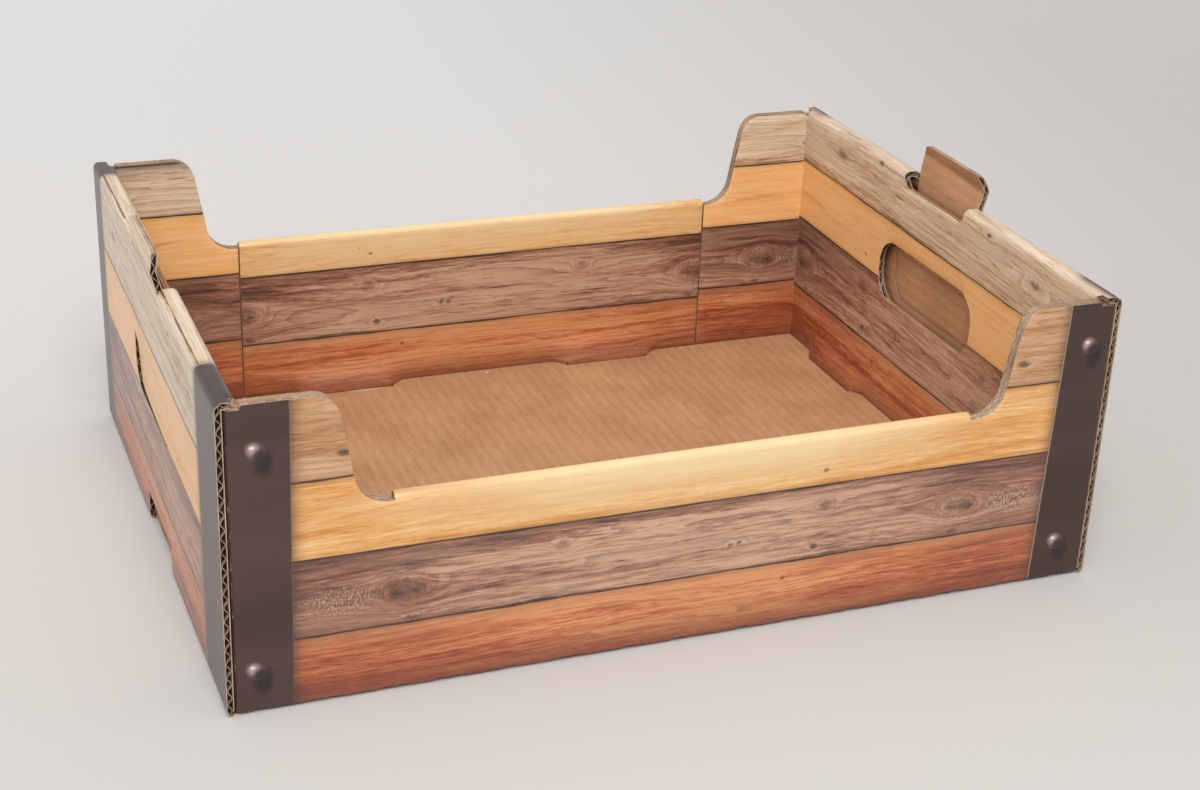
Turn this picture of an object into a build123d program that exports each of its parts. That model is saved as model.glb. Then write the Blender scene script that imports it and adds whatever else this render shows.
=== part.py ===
from build123d import *
import os

# Produce crate folded and glued from one die-cut sheet of single-wall corrugated board.
# Millimetres. X runs along the long walls, Y across them, Z up from the underside of the floor.
# The origin is the middle of the floor's underside.

# Board and folds
board = 3.0
fold_radius = 2.8
layer_gap = 0.2
cut_gap = 0.4

# Folded crate
crate_length = 400.0
crate_width = 300.0
end_height = 138.0
ear_height = 136.5
ear_foot_height = 87.5
middle_height = 90.5
ear_length = 70.0
seam_gap = 0.8

# Ear outline: the sloping side of each raised corner and its two round corners
ear_top_length = 47.1
ear_slope_run = 8.9
ear_top_radius = 11.0
ear_foot_radius = 14.0

# Corner flaps of the long walls, trapped inside the end walls
corner_flap_length = 75.0
corner_flap_taper = 6.0
strip_end_gap = 1.0
under_strip_gap = 0.4

# Hand hole in the inner end panel, and the push-in flap cut in the outer one
hand_hole_width = 94.0
hand_hole_bottom = 65.0
hand_hole_top = 97.5
hand_hole_radius = 14.0
hand_hole_offset = 1.5
flap_width = 84.0
flap_bottom = 66.0
flap_crease_height = 91.0
flap_corner_radius = 13.0

# Stacking tab, its slot in the rolled top, and the notch that takes the tab of the crate below
tab_width = 57.5
tab_rise = 15.5
tab_crease_rise = 10.5
tab_lean = 2.0
tab_top_lean = 1.2
tab_offset = -1.25
tab_corner_radius = 8.0
slot_width = 60.0
slot_depth = 7.5
slot_offset = 1.5
slot_front_radius = 5.0
slot_back_radius = 7.0
notch_clearance = 0.5
notch_corner_radius = 3.0

# Lock tabs at the foot of the inner panels, and the slots for them in the floor. The slots lie a step
# further in than the panels, so each panel's foot bows inwards at its tabs.
lock_width = 46.0
lock_inset_ends = 35.0
lock_inset_sides = 33.0
lock_step_ends = 4.6
lock_step_sides = 5.4
lock_bow_height = 14.0
lock_bow_blend = 8.0
lock_side_clearance = 0.8
lock_face_clearance = 0.3
inner_foot_gap = 0.3

# Faces of the layers, measured from the middle of the crate
end_outer = crate_length / 2
end_inner = end_outer - board
corner_flap_face = end_inner - layer_gap
inner_end_back = corner_flap_face - board - layer_gap
inner_end_face = inner_end_back - board
side_outer = crate_width / 2
side_inner = side_outer - board
inner_side_back = side_inner - layer_gap
inner_side_face = inner_side_back - board
inner_foot = board + inner_foot_gap
middle_half = end_outer - ear_length
strip_underside = end_height - board
under_strip = strip_underside - under_strip_gap


def box_between(low, high):
    """A block of board between two opposite corners."""
    size = [b - a for a, b in zip(low, high)]
    return Pos(*low) * Box(*size, align=(Align.MIN, Align.MIN, Align.MIN))


def outline(points, rounds):
    """A closed outline through the points, with the numbered corners rounded to their radii."""
    face = make_face(Polyline(*points, close=True))
    for number, radius in rounds.items():
        corner = face.vertices().sort_by_distance(Vector(*points[number]))[0]
        face = fillet(corner, radius)
    return face


def panel_across_y(face, y_from, y_to):
    """A panel drawn in X and Z, from the face at y_from to the face at y_to."""
    plane = Plane(origin=(0, y_to, 0), x_dir=(1, 0, 0), z_dir=(0, -1, 0))
    return extrude(plane * face, amount=y_to - y_from)


def panel_across_x(face, x_from, x_to):
    """A panel drawn in Y and Z, from the face at x_from to the face at x_to."""
    plane = Plane(origin=(x_from, 0, 0), x_dir=(0, 1, 0), z_dir=(1, 0, 0))
    return extrude(plane * face, amount=x_to - x_from)


def fold_edge(solid, axis, near, radius=fold_radius):
    """The solid with its edges along one axis rounded, where they pass the named place."""
    edges = solid.edges().filter_by(axis)
    for across, value in near.items():
        edges = edges.filter_by_position(across, value - board / 50, value + board / 50)
    return fillet(edges, radius)


def lock_places(panel_half, inset):
    """The middles of the two lock tabs of one inner panel, set in from the panel's ends."""
    middle = panel_half - inset - lock_width / 2
    return (-middle, middle)


def end_locks():
    """The middles of the lock tabs of an end wall."""
    return lock_places(inner_side_face, lock_inset_ends)


def side_locks():
    """The middles of the lock tabs of a long wall."""
    return lock_places(middle_half, lock_inset_sides)


def bow_section(middle, step, z):
    """The section of an inner panel's foot round a lock tab, bowed by the step, with its face on Y."""
    half = lock_width / 2
    bow = [
        (-half - lock_bow_blend, 0),
        (-half, -step),
        (half, -step),
        (half + lock_bow_blend, 0),
    ]
    points = [(middle + x, y) for x, y in bow]
    points += [(middle + x, y + board) for x, y in reversed(bow)]
    return Pos(0, 0, z) * make_face(Polyline(*points, close=True))


def bowed_foot(panel, middle, step, face):
    """A panel across Y whose foot bows inwards round one lock tab, with the tab below it."""
    half = lock_width / 2 + lock_bow_blend
    top = inner_foot + lock_bow_height
    panel -= box_between((middle - half, face, 0), (middle + half, face + board, top))
    sections = [bow_section(middle, step, inner_foot), bow_section(middle, 0, top)]
    foot = Pos(0, face, 0) * loft(sections, ruled=True)
    tab = box_between(
        (middle - lock_width / 2, face - step, 0),
        (middle + lock_width / 2, face - step + board, inner_foot),
    )
    return panel + foot + tab


def ear_corners():
    """The corners of an ear's outline, from its outer end down its slope to its foot."""
    top_end = end_outer - ear_top_length
    return (
        (inner_end_face - cut_gap, under_strip),
        (inner_end_face - cut_gap, ear_height),
        (top_end, ear_height),
        (top_end - ear_slope_run, ear_foot_height),
    )


def floor():
    """The floor, with a slot for each lock tab."""
    solid = box_between((-end_inner, -side_inner, 0), (end_inner, side_inner, board))
    half = lock_width / 2 + lock_side_clearance
    wide = board + 2 * lock_face_clearance
    end_slot = inner_end_face - lock_step_ends - lock_face_clearance
    side_slot = inner_side_face - lock_step_sides - lock_face_clearance
    slots = [
        box_between((end_slot, middle - half, 0), (end_slot + wide, middle + half, board))
        for middle in end_locks()
    ]
    slots += [
        box_between((middle - half, side_slot, 0), (middle + half, side_slot + wide, board))
        for middle in side_locks()
    ]
    for slot in slots:
        solid -= slot
        solid -= slot.rotate(Axis.Z, 180)
    return solid


def side_outer_panel():
    """The outer panel of the back long wall, with an ear at each end and its corner flaps."""
    wall_end = corner_flap_face
    right = [(wall_end, 0), (wall_end, under_strip), *ear_corners(), (middle_half, ear_foot_height)]
    points = [*right, (middle_half, middle_height)]
    points += [(-x, z) for x, z in reversed(points)]
    rounds = {4: ear_top_radius, 5: ear_foot_radius}
    rounds |= {len(points) - 1 - number: radius for number, radius in rounds.items()}
    panel = panel_across_y(outline(points, rounds), side_inner, side_outer)
    for side in (-1, 1):
        panel = fold_edge(panel, Axis.Z, {Axis.X: side * wall_end, Axis.Y: side_outer})
    panel = fold_edge(panel, Axis.X, {Axis.Y: side_outer, Axis.Z: 0})
    flap_end = side_outer - corner_flap_length
    flap_points = [
        (side_inner, inner_foot),
        (flap_end + corner_flap_taper, inner_foot),
        (flap_end, inner_foot + corner_flap_taper),
        (flap_end, under_strip - corner_flap_taper),
        (flap_end + corner_flap_taper, under_strip),
        (side_inner, under_strip),
    ]
    flap = panel_across_x(outline(flap_points, {}), wall_end - board, wall_end)
    return panel + flap + mirror(flap, about=Plane.YZ)


def side_rolled_panel():
    """The low middle of the back long wall: its rolled top and the inner panel with lock tabs."""
    half = middle_half
    panel = box_between((-half, inner_side_face, inner_foot), (half, inner_side_back, middle_height))
    bridge = box_between(
        (-half, inner_side_back, middle_height - board), (half, side_inner, middle_height)
    )
    for middle in side_locks():
        panel = bowed_foot(panel, middle, lock_step_sides, inner_side_face)
    return panel + bridge


def side_wall():
    """The back long wall, outer panel, roll and inner panel in one."""
    wall = side_outer_panel() + side_rolled_panel()
    for y in (inner_side_face, side_outer):
        wall = fold_edge(wall, Axis.X, {Axis.Y: y, Axis.Z: middle_height})
    return wall


def notch_outline():
    """The notch at the foot of an outer end panel."""
    half = tab_width / 2 + notch_clearance
    top = tab_rise + notch_clearance
    points = [
        (tab_offset - half, -board),
        (tab_offset - half, top),
        (tab_offset + half, top),
        (tab_offset + half, -board),
    ]
    return outline(points, {1: notch_corner_radius, 2: notch_corner_radius})


def flap_outline(margin):
    """The hand flap in the outer end panel, or with a margin the opening that it is cut from."""
    half = flap_width / 2 + margin
    points = [
        (-half, flap_crease_height + margin / 2),
        (-half, flap_bottom - margin),
        (half, flap_bottom - margin),
        (half, flap_crease_height + margin / 2),
    ]
    radius = flap_corner_radius + margin
    return outline(points, {1: radius, 2: radius})


def hand_hole_outline():
    """The hand hole in the inner end panel."""
    half = hand_hole_width / 2
    points = [
        (hand_hole_offset - half, hand_hole_bottom),
        (hand_hole_offset + half, hand_hole_bottom),
        (hand_hole_offset + half, hand_hole_top),
        (hand_hole_offset - half, hand_hole_top),
    ]
    return outline(points, {number: hand_hole_radius for number in range(len(points))})


def slot_outline():
    """The slot that the stacking tab leaves in the strip and the inner panel."""
    half = slot_width / 2
    points = [
        (slot_offset - half, end_height + board),
        (slot_offset - half, end_height - slot_depth),
        (slot_offset + half, end_height - slot_depth),
        (slot_offset + half, end_height + board),
    ]
    return outline(points, {1: slot_front_radius, 2: slot_back_radius})


def stacking_tab():
    """The tab that carries the right outer end panel up past the rolled top."""
    foot = strip_underside
    crease = end_height + tab_crease_rise
    top = end_height + tab_rise
    inner = [
        (end_inner, foot),
        (end_inner, end_height),
        (end_inner + tab_lean, crease),
        (end_inner + tab_top_lean, top),
    ]
    outer = [(x + board, z) for x, z in reversed(inner)]
    half = tab_width / 2
    bent = panel_across_y(outline(inner + outer, {}), tab_offset - half, tab_offset + half)
    shape = [
        (tab_offset - half, foot),
        (tab_offset + half, foot),
        (tab_offset + half, top),
        (tab_offset - half, top),
    ]
    flat = outline(shape, {2: tab_corner_radius, 3: tab_corner_radius})
    return bent & panel_across_x(flat, end_inner, end_outer + board)


def end_outer_panel():
    """The outer panel of the right end wall, with its notch and the opening of its hand flap."""
    corners = [(-side_outer, 0), (side_outer, 0), (side_outer, end_height), (-side_outer, end_height)]
    face = outline(corners, {0: board, 1: board}) - notch_outline() - flap_outline(cut_gap)
    panel = panel_across_x(face, end_inner, end_outer)
    panel = fold_edge(panel, Axis.Y, {Axis.X: end_outer, Axis.Z: 0})
    return fold_edge(panel, Axis.Y, {Axis.X: end_outer, Axis.Z: end_height})


def end_rolled_panel():
    """The top strip, inner panel and lock tabs of the right end wall."""
    strip_end = side_outer - strip_end_gap
    strip = box_between(
        (inner_end_face + board, -strip_end, strip_underside), (end_inner, strip_end, end_height)
    )
    panel = box_between(
        (-inner_side_face, inner_end_face, inner_foot), (inner_side_face, inner_end_back, end_height)
    )
    for middle in end_locks():
        panel = bowed_foot(panel, middle, lock_step_ends, inner_end_face)
    panel = panel.rotate(Axis.Z, -90)
    panel = fold_edge(panel, Axis.Y, {Axis.X: inner_end_face, Axis.Z: end_height})
    panel += strip
    panel -= panel_across_x(hand_hole_outline(), inner_end_face - board, end_inner)
    panel -= panel_across_x(slot_outline(), inner_end_face - board, end_inner)
    return panel


def end_wing():
    """The wing that the right inner end panel folds back along the back long wall."""
    wing_end = middle_half + seam_gap
    points = [
        (wing_end, inner_foot),
        (inner_end_back, inner_foot),
        (inner_end_back, under_strip),
        *ear_corners(),
        (wing_end, ear_foot_height),
    ]
    rounds = {5: ear_top_radius, 6: ear_foot_radius}
    wing = panel_across_y(outline(points, rounds), inner_side_face, inner_side_back)
    return fold_edge(wing, Axis.Z, {Axis.X: inner_end_back, Axis.Y: inner_side_back})


def end_wall():
    """The right end wall with its stacking tab and both wings."""
    wing = end_wing()
    return end_outer_panel() + stacking_tab() + end_rolled_panel() + wing + mirror(wing, about=Plane.XZ)


def crate_body():
    """The whole folded sheet, apart from its two hand flaps."""
    side = side_wall()
    end = end_wall()
    return floor() + side + mirror(side, about=Plane.XZ) + end + mirror(end, about=Plane.YZ)


def right_hand_flap():
    """The push-in flap of the right end wall, closed."""
    return panel_across_x(flap_outline(0), end_inner, end_outer)


def save(shape, node):
    """Write one node and print its solids and volume."""
    shape.label = node
    export_step(shape, f"parts/{node}.step")
    print(f"{node}: {len(shape.solids())} solid(s), {shape.volume / 1000:.1f} cm3")


os.makedirs("parts", exist_ok=True)
right_flap = right_hand_flap()
save(crate_body(), "crate_body")
save(right_flap, "right_hand_flap")
save(mirror(right_flap, about=Plane.YZ), "left_hand_flap")
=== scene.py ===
"""The finished look of a folded produce crate made of one printed sheet of corrugated board.

Every wall is a flat cut-out of the sheet, with its holes, that is folded up along a profile. Its two
liners are smooth faces, and every open edge shows the wavy medium between them. Lengths are
millimetres until a mesh is made.
"""

import logging
import math
from collections.abc import Iterator
from dataclasses import dataclass, field
from enum import IntEnum
from typing import NamedTuple

import bmesh
import bpy
import numpy as np
from mathutils import Matrix, Vector, geometry

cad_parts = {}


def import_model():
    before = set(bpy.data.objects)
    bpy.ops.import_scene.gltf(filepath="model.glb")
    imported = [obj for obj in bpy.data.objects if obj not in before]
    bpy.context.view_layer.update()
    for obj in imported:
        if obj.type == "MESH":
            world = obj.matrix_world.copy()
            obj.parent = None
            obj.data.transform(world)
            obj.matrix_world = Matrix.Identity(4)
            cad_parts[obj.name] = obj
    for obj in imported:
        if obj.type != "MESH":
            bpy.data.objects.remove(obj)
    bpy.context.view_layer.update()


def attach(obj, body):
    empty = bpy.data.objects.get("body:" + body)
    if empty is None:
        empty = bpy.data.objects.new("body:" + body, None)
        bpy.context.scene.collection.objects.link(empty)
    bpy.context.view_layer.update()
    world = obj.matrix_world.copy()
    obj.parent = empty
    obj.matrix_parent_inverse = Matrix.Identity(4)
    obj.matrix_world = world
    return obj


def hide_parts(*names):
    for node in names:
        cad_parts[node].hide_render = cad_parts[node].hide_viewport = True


LOG = logging.getLogger("crate")
METRE = 0.001
QUARTER = math.pi / 2
CRATE = "crate"
CRATE_NODE = "crate_body"
SHEET_PITCH = 1000.0

Array = np.ndarray
Strips = tuple[Array, list[Array], list[int]]
Source = bpy.types.Node | bpy.types.NodeSocket | float | str | tuple
Layers = Iterator[tuple[Source, Source]]


class Face(IntEnum):
    """The four finishes of a piece of board, in the order of its material slots."""

    PRINT = 0
    LINER = 1
    CUT = 2
    MEDIUM = 3


@dataclass(frozen=True)
class Board:
    """Single-wall board with B flutes, its folds, and how finely its edges are drawn."""

    thickness: float = 3.0
    liner: float = 0.36
    medium: float = 0.36
    flute_pitch: float = 6.3
    open_depth: float = 2.4
    pressed: float = 0.26
    pressed_reach: float = 1.4
    fold: float = 3.1
    tight_fold: float = 0.4
    clearance: float = 0.4
    arc_step: float = 1.3
    edge_step: float = 0.75
    pressed_step: float = 1.5
    joint_step: float = 6.0
    joint_inset: float = 0.3
    row_room: float = 1.0
    rim_room: float = 0.9
    seam: float = 0.004
    sharp_angle: float = 0.6
    more_than_sheet: float = 300.0

    def wave(self, across: Array) -> Array:
        """Height of the medium over the kraft face: a sine of the place across the flutes.

        Its swing fills the room between the liners, and a slow second sine crushes it here and there.

        Args:
            across: Places across the flutes, in millimetres.

        Returns:
            Heights in millimetres.
        """
        swing = (self.thickness - 2 * self.liner - self.medium) / 2
        crush = 0.93 + 0.07 * np.sin(across / 17.0 + 1.3 * np.sin(across / 7.1))
        turn = 2 * np.pi * across / self.flute_pitch + 0.35 * np.sin(across / 11.0)
        return self.thickness / 2 + swing * crush * np.sin(turn)

    def pressed_height(self, height: Array, away: Array) -> Array:
        """Heights through the board where a die has pressed its edge thinner.

        The share that is pressed away falls in a straight line to nothing at its reach.

        Args:
            height: Heights over the kraft face of the full board.
            away: Distances from the pressed edge.

        Returns:
            Heights over the kraft face of the full board, drawn in towards its middle.
        """
        share = self.pressed * np.clip(1 - away / self.pressed_reach, 0, 1)
        return self.thickness / 2 + (height - self.thickness / 2) * (1 - share)


BOARD = Board()


class Corner(NamedTuple):
    """A corner of a cut-out, along and up the flat sheet, and whether the edge after it is cut."""

    along: float
    up: float
    radius: float = 0.0
    cut: bool = True


def mirrored(corners: list[Corner]) -> list[Corner]:
    """The same corners on the other side of the sheet's middle, in reverse order.

    Args:
        corners: The corners of the right half, from the bottom to the top.

    Returns:
        The corners of the left half, from the top to the bottom.
    """
    pairs = list(zip(corners, corners[-1:] + corners[:-1]))
    return [Corner(-corner.along, corner.up, corner.radius, edge.cut) for corner, edge in reversed(pairs)]


def rectangle(
    along: tuple[float, float],
    up: tuple[float, float],
    radii: tuple[float, float] = (0.0, 0.0),
    creased: bool = False,
) -> list[Corner]:
    """The four corners of an opening or a flap, counter-clockwise from the low left one.

    Args:
        along: Where it starts and ends along the sheet.
        up: Where it starts and ends up the sheet.
        radii: The radius of its two lower corners, and of its two upper ones.
        creased: True where its top is a crease and no cut.

    Returns:
        The corners.
    """
    (left, right), (low, high) = along, up
    foot, head = radii
    lower = [Corner(left, low, foot), Corner(right, low, foot)]
    return [*lower, Corner(right, high, head, not creased), Corner(left, high, head)]


class Ring(NamedTuple):
    """Points along an outline, the point inside the board from each, and which start a cut edge."""

    outer: Array
    inner: Array
    cut: Array


class Loop:
    """One closed outline of a cut-out: counter-clockwise outside, clockwise round a hole."""

    def __init__(self, corners: list[Corner], hole: bool = False) -> None:
        """Rounds the corners and turns the outline the right way.

        Args:
            corners: The corners in order.
            hole: True for a hole.
        """
        points, cuts = self._rounded(corners)
        ahead = np.roll(points, -1, axis=0)
        area = np.sum(points[:, 0] * ahead[:, 1] - ahead[:, 0] * points[:, 1])
        if (area > 0) == hole:
            points = points[::-1]
            cuts = np.roll(cuts[::-1], -1)
        self.points = points
        self.cuts = cuts

    @staticmethod
    def _rounded(corners: list[Corner]) -> tuple[Array, Array]:
        """Swaps each corner with a radius for the arc that touches both of its edges.

        Args:
            corners: The corners in order.

        Returns:
            Points along the outline, and which of them start a cut edge.
        """
        points, cuts = [], []
        places = np.array([corner[:2] for corner in corners], float)
        for number, corner in enumerate(corners):
            here = places[number]
            if corner.radius <= 0:
                points.append(here[None])
                cuts.append([corner.cut])
                continue
            back = places[number - 1] - here
            ahead = places[(number + 1) % len(corners)] - here
            back /= np.linalg.norm(back)
            ahead /= np.linalg.norm(ahead)
            half = math.acos(float(np.clip(back @ ahead, -1, 1))) / 2
            middle = here + (back + ahead) / np.linalg.norm(back + ahead) * corner.radius / math.sin(half)
            start = here + back * corner.radius / math.tan(half) - middle
            side = math.copysign(1.0, start[1] * back[0] - start[0] * back[1])
            steps = max(3, math.ceil((math.pi - 2 * half) * corner.radius / BOARD.arc_step))
            turn = side * np.linspace(0, math.pi - 2 * half, steps + 1)[:, None]
            quarter = np.array([-start[1], start[0]])
            points.append(middle + start * np.cos(turn) + quarter * np.sin(turn))
            cuts.append([True] * steps + [corner.cut])
        return np.concatenate(points), np.concatenate(cuts).astype(bool)

    def ring(self, depth: float, step: float) -> Ring:
        """Even points along the outline, and the point that lies one depth inside the board from each.

        A point near a convex corner slides along the inner line until it fits, as mitred strips do.

        Args:
            depth: How far the open edge is seen into.
            step: The largest distance between two points on a cut edge.

        Returns:
            The points.
        """
        start = self.points
        end = np.roll(start, -1, axis=0)
        span = end - start
        length = np.linalg.norm(span, axis=1)
        way = span / length[:, None]
        inward = np.stack([-way[:, 1], way[:, 0]], axis=1)
        before = np.roll(inward, 1, axis=0)
        mitre = (before + inward) / np.clip(1 + np.sum(before * inward, axis=1), 0.35, None)[:, None]
        joined = (self.cuts & np.roll(self.cuts, 1))[:, None]
        first = start + depth * np.where(joined, mitre, inward)
        last = end + depth * np.where(np.roll(joined, -1, axis=0), np.roll(mitre, -1, axis=0), inward)
        outer, inner, cut = [], [], []
        for number, is_cut in enumerate(self.cuts):
            count = max(1, math.ceil(length[number] / (step if is_cut else BOARD.joint_step)))
            share = np.arange(count) / count
            inset = BOARD.joint_inset / length[number]
            if not is_cut and length[number] > 2:
                share = np.unique([*share, inset, 1 - inset])
            places = start[number] + share[:, None] * span[number]
            outer.append(places)
            if is_cut:
                run = last[number] - first[number]
                room = max(float(run @ run), 1e-9)
                slide = np.clip((places + depth * inward[number] - first[number]) @ run / room, 0, 1)
                places = first[number] + slide[:, None] * run
            inner.append(places)
            cut.append(np.full(len(places), is_cut))
        return Ring(np.concatenate(outer), np.concatenate(inner), np.concatenate(cut))


def inside(places: Array, loops: list[Loop]) -> Array:
    """Which places lie in the board: an even-odd count of the edges to the right of each.

    Args:
        places: Points on the flat sheet.
        loops: The outline and its holes.

    Returns:
        True for each place in the board.
    """
    count = np.zeros(len(places), int)
    along, up = places[:, 0:1], places[:, 1:2]
    for loop in loops:
        start = loop.points
        end = np.roll(start, -1, axis=0)
        crosses = (start[None, :, 1] > up) != (end[None, :, 1] > up)
        rise = np.where(end[:, 1] == start[:, 1], 1.0, end[:, 1] - start[:, 1])
        where = start[None, :, 0] + (up - start[None, :, 1]) / rise[None] * (end - start)[None, :, 0]
        count += np.sum(crosses & (where > along), axis=1)
    return count % 2 == 1


class Profile:
    """The side view of a folded sheet: straight runs and arcs, one after another."""

    def __init__(self, outward: float, runs: list[tuple[float, float]]) -> None:
        """Adds up the runs from the foot of the wall, whose first run points outwards.

        Args:
            outward: Where the print face starts, on the ground.
            runs: Length and left turn in radians of each run.
        """
        place = np.array([outward, 0.0])
        heading, reach = 0.0, 0.0
        self.starts, self.places, self.headings, self.runs = [], [], [], runs
        for length, turn in runs:
            self.starts.append(reach)
            self.places.append(place)
            self.headings.append(heading)
            place = place + self._travel(heading, length, turn, np.array([length]))[0]
            heading += turn
            reach += length

    @staticmethod
    def _travel(heading: float, length: float, turn: float, along: Array) -> Array:
        """The way gone along one run: straight on, or round an arc of radius length over turn.

        Args:
            heading: The run's first direction, in radians.
            length: Its length.
            turn: Its left turn in radians.
            along: Distances gone along it.

        Returns:
            The ways outwards and up.
        """
        if turn == 0:
            return along[:, None] * np.array([math.cos(heading), math.sin(heading)])
        radius = length / turn
        angle = heading + along / radius
        across = radius * (np.sin(angle) - math.sin(heading))
        up = -radius * (np.cos(angle) - math.cos(heading))
        return np.stack([across, up], axis=1)

    def at(self, reach: Array, depth: Array) -> tuple[Array, Array]:
        """Places in the side view, a depth under the print face.

        Args:
            reach: Distance along the print face.
            depth: Distance under it, towards the kraft face.

        Returns:
            Distances outwards and heights.
        """
        out = np.zeros((len(reach), 2))
        ends = self.starts[1:] + [math.inf]
        for number, (length, turn) in enumerate(self.runs):
            low = self.starts[number]
            mine = ((reach >= low) | (number == 0)) & (reach < ends[number])
            along = reach[mine] - low
            angle = self.headings[number] + along * turn / length
            normal = np.stack([np.sin(angle), -np.cos(angle)], axis=1)
            travel = self._travel(self.headings[number], length, turn, along)
            out[mine] = self.places[number] + travel - normal * depth[mine, None]
        return out[:, 0], out[:, 1]


def new_mesh(name: str, points: Array, faces: list[Array], kinds: list[int]) -> bpy.types.Mesh:
    """A mesh from arrays of triangles and quads.

    Args:
        name: The mesh's name.
        points: Vertices in millimetres.
        faces: Arrays of vertex numbers, each with three or four columns.
        kinds: The material slot of each array.

    Returns:
        The mesh, in metres.
    """
    mesh = bpy.data.meshes.new(name)
    sizes = np.concatenate([np.full(len(part), part.shape[1]) for part in faces])
    slots = np.concatenate([np.full(len(part), kind) for part, kind in zip(faces, kinds)])
    corners = np.concatenate([part.ravel() for part in faces])
    mesh.vertices.add(len(points))
    mesh.vertices.foreach_set("co", (points * METRE).astype(np.float32).ravel())
    mesh.loops.add(len(corners))
    mesh.loops.foreach_set("vertex_index", corners.astype(np.int32))
    mesh.polygons.add(len(sizes))
    starts = np.concatenate([[0], np.cumsum(sizes)[:-1]])
    mesh.polygons.foreach_set("loop_start", starts.astype(np.int32))
    mesh.polygons.foreach_set("material_index", slots.astype(np.int32))
    mesh.update(calc_edges=True)
    return mesh


def add_piece(
    mesh: bpy.types.Mesh, finishes: list[bpy.types.Material], body: str, node: str
) -> bpy.types.Object:
    """Links a finished mesh as a piece that rides on a body and stands for a node.

    Args:
        mesh: The finished mesh, in place.
        finishes: Its materials.
        body: The body that carries it.
        node: The node that it replaces.

    Returns:
        The new object.
    """
    piece = bpy.data.objects.new(mesh.name, mesh)
    bpy.context.scene.collection.objects.link(piece)
    for finish in finishes:
        mesh.materials.append(finish)
    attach(piece, body)
    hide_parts(node)
    LOG.info("%s: %d faces on %s", piece.name, len(mesh.polygons), body)
    return piece


def nearest(points: Array, rim: Array) -> Array:
    """Distance of each point from the nearest point of a rim.

    The squared distance is the sum of both squared lengths less twice the dot product.

    Args:
        points: Places on the flat sheet.
        rim: Places along its edges.

    Returns:
        The distances, which are large where there is no rim.
    """
    apart = np.full(len(points), 99.0)
    if not len(rim):
        return apart
    square = np.sum(rim**2, axis=1)
    for part in np.array_split(np.arange(len(points)), max(1, len(points) // 1000)):
        here = points[part]
        apart[part] = (square - 2 * here @ rim.T).min(axis=1) + np.sum(here**2, axis=1)
    return np.sqrt(np.maximum(apart, 0))


def spread(*stretches: tuple[float, float, int]) -> Array:
    """Places spread evenly over each stretch, given by its first, its last and their number."""
    return np.concatenate([np.linspace(*stretch) for stretch in stretches])


def through_stops(value: Array, seen: tuple, drawn: tuple) -> Array:
    """Straight lines through matching stops, level before the first and after the last.

    Args:
        value: Where to read them.
        seen: The stops that the values pass, which may differ from value to value.
        drawn: What each stop turns into.

    Returns:
        The values between the drawn stops.
    """
    result = np.full(len(value), drawn[0], float)
    for low, high, start, end in zip(seen, seen[1:], drawn, drawn[1:]):
        result += np.clip((value - low) / (high - low), 0, 1) * (end - start)
    return result


def window(value: Array, half: float, soft: float) -> Array:
    """One within half of zero, then a smooth fall to zero over the soft width."""
    share = np.clip((half + soft - np.abs(value)) / soft, 0, 1)
    return share * share * (3 - 2 * share)


def close_up(mesh: bpy.types.Mesh) -> None:
    """Joins vertices that share a place, which closes the seams, and keeps the cut edges sharp.

    Args:
        mesh: The folded mesh.
    """
    work = bmesh.new()
    work.from_mesh(mesh)
    bmesh.ops.remove_doubles(work, verts=work.verts, dist=BOARD.seam * METRE)
    bmesh.ops.dissolve_degenerate(work, edges=work.edges, dist=BOARD.seam / 2 * METRE)
    work.to_mesh(mesh)
    work.free()
    mesh.set_sharp_from_angle(angle=BOARD.sharp_angle)


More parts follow.
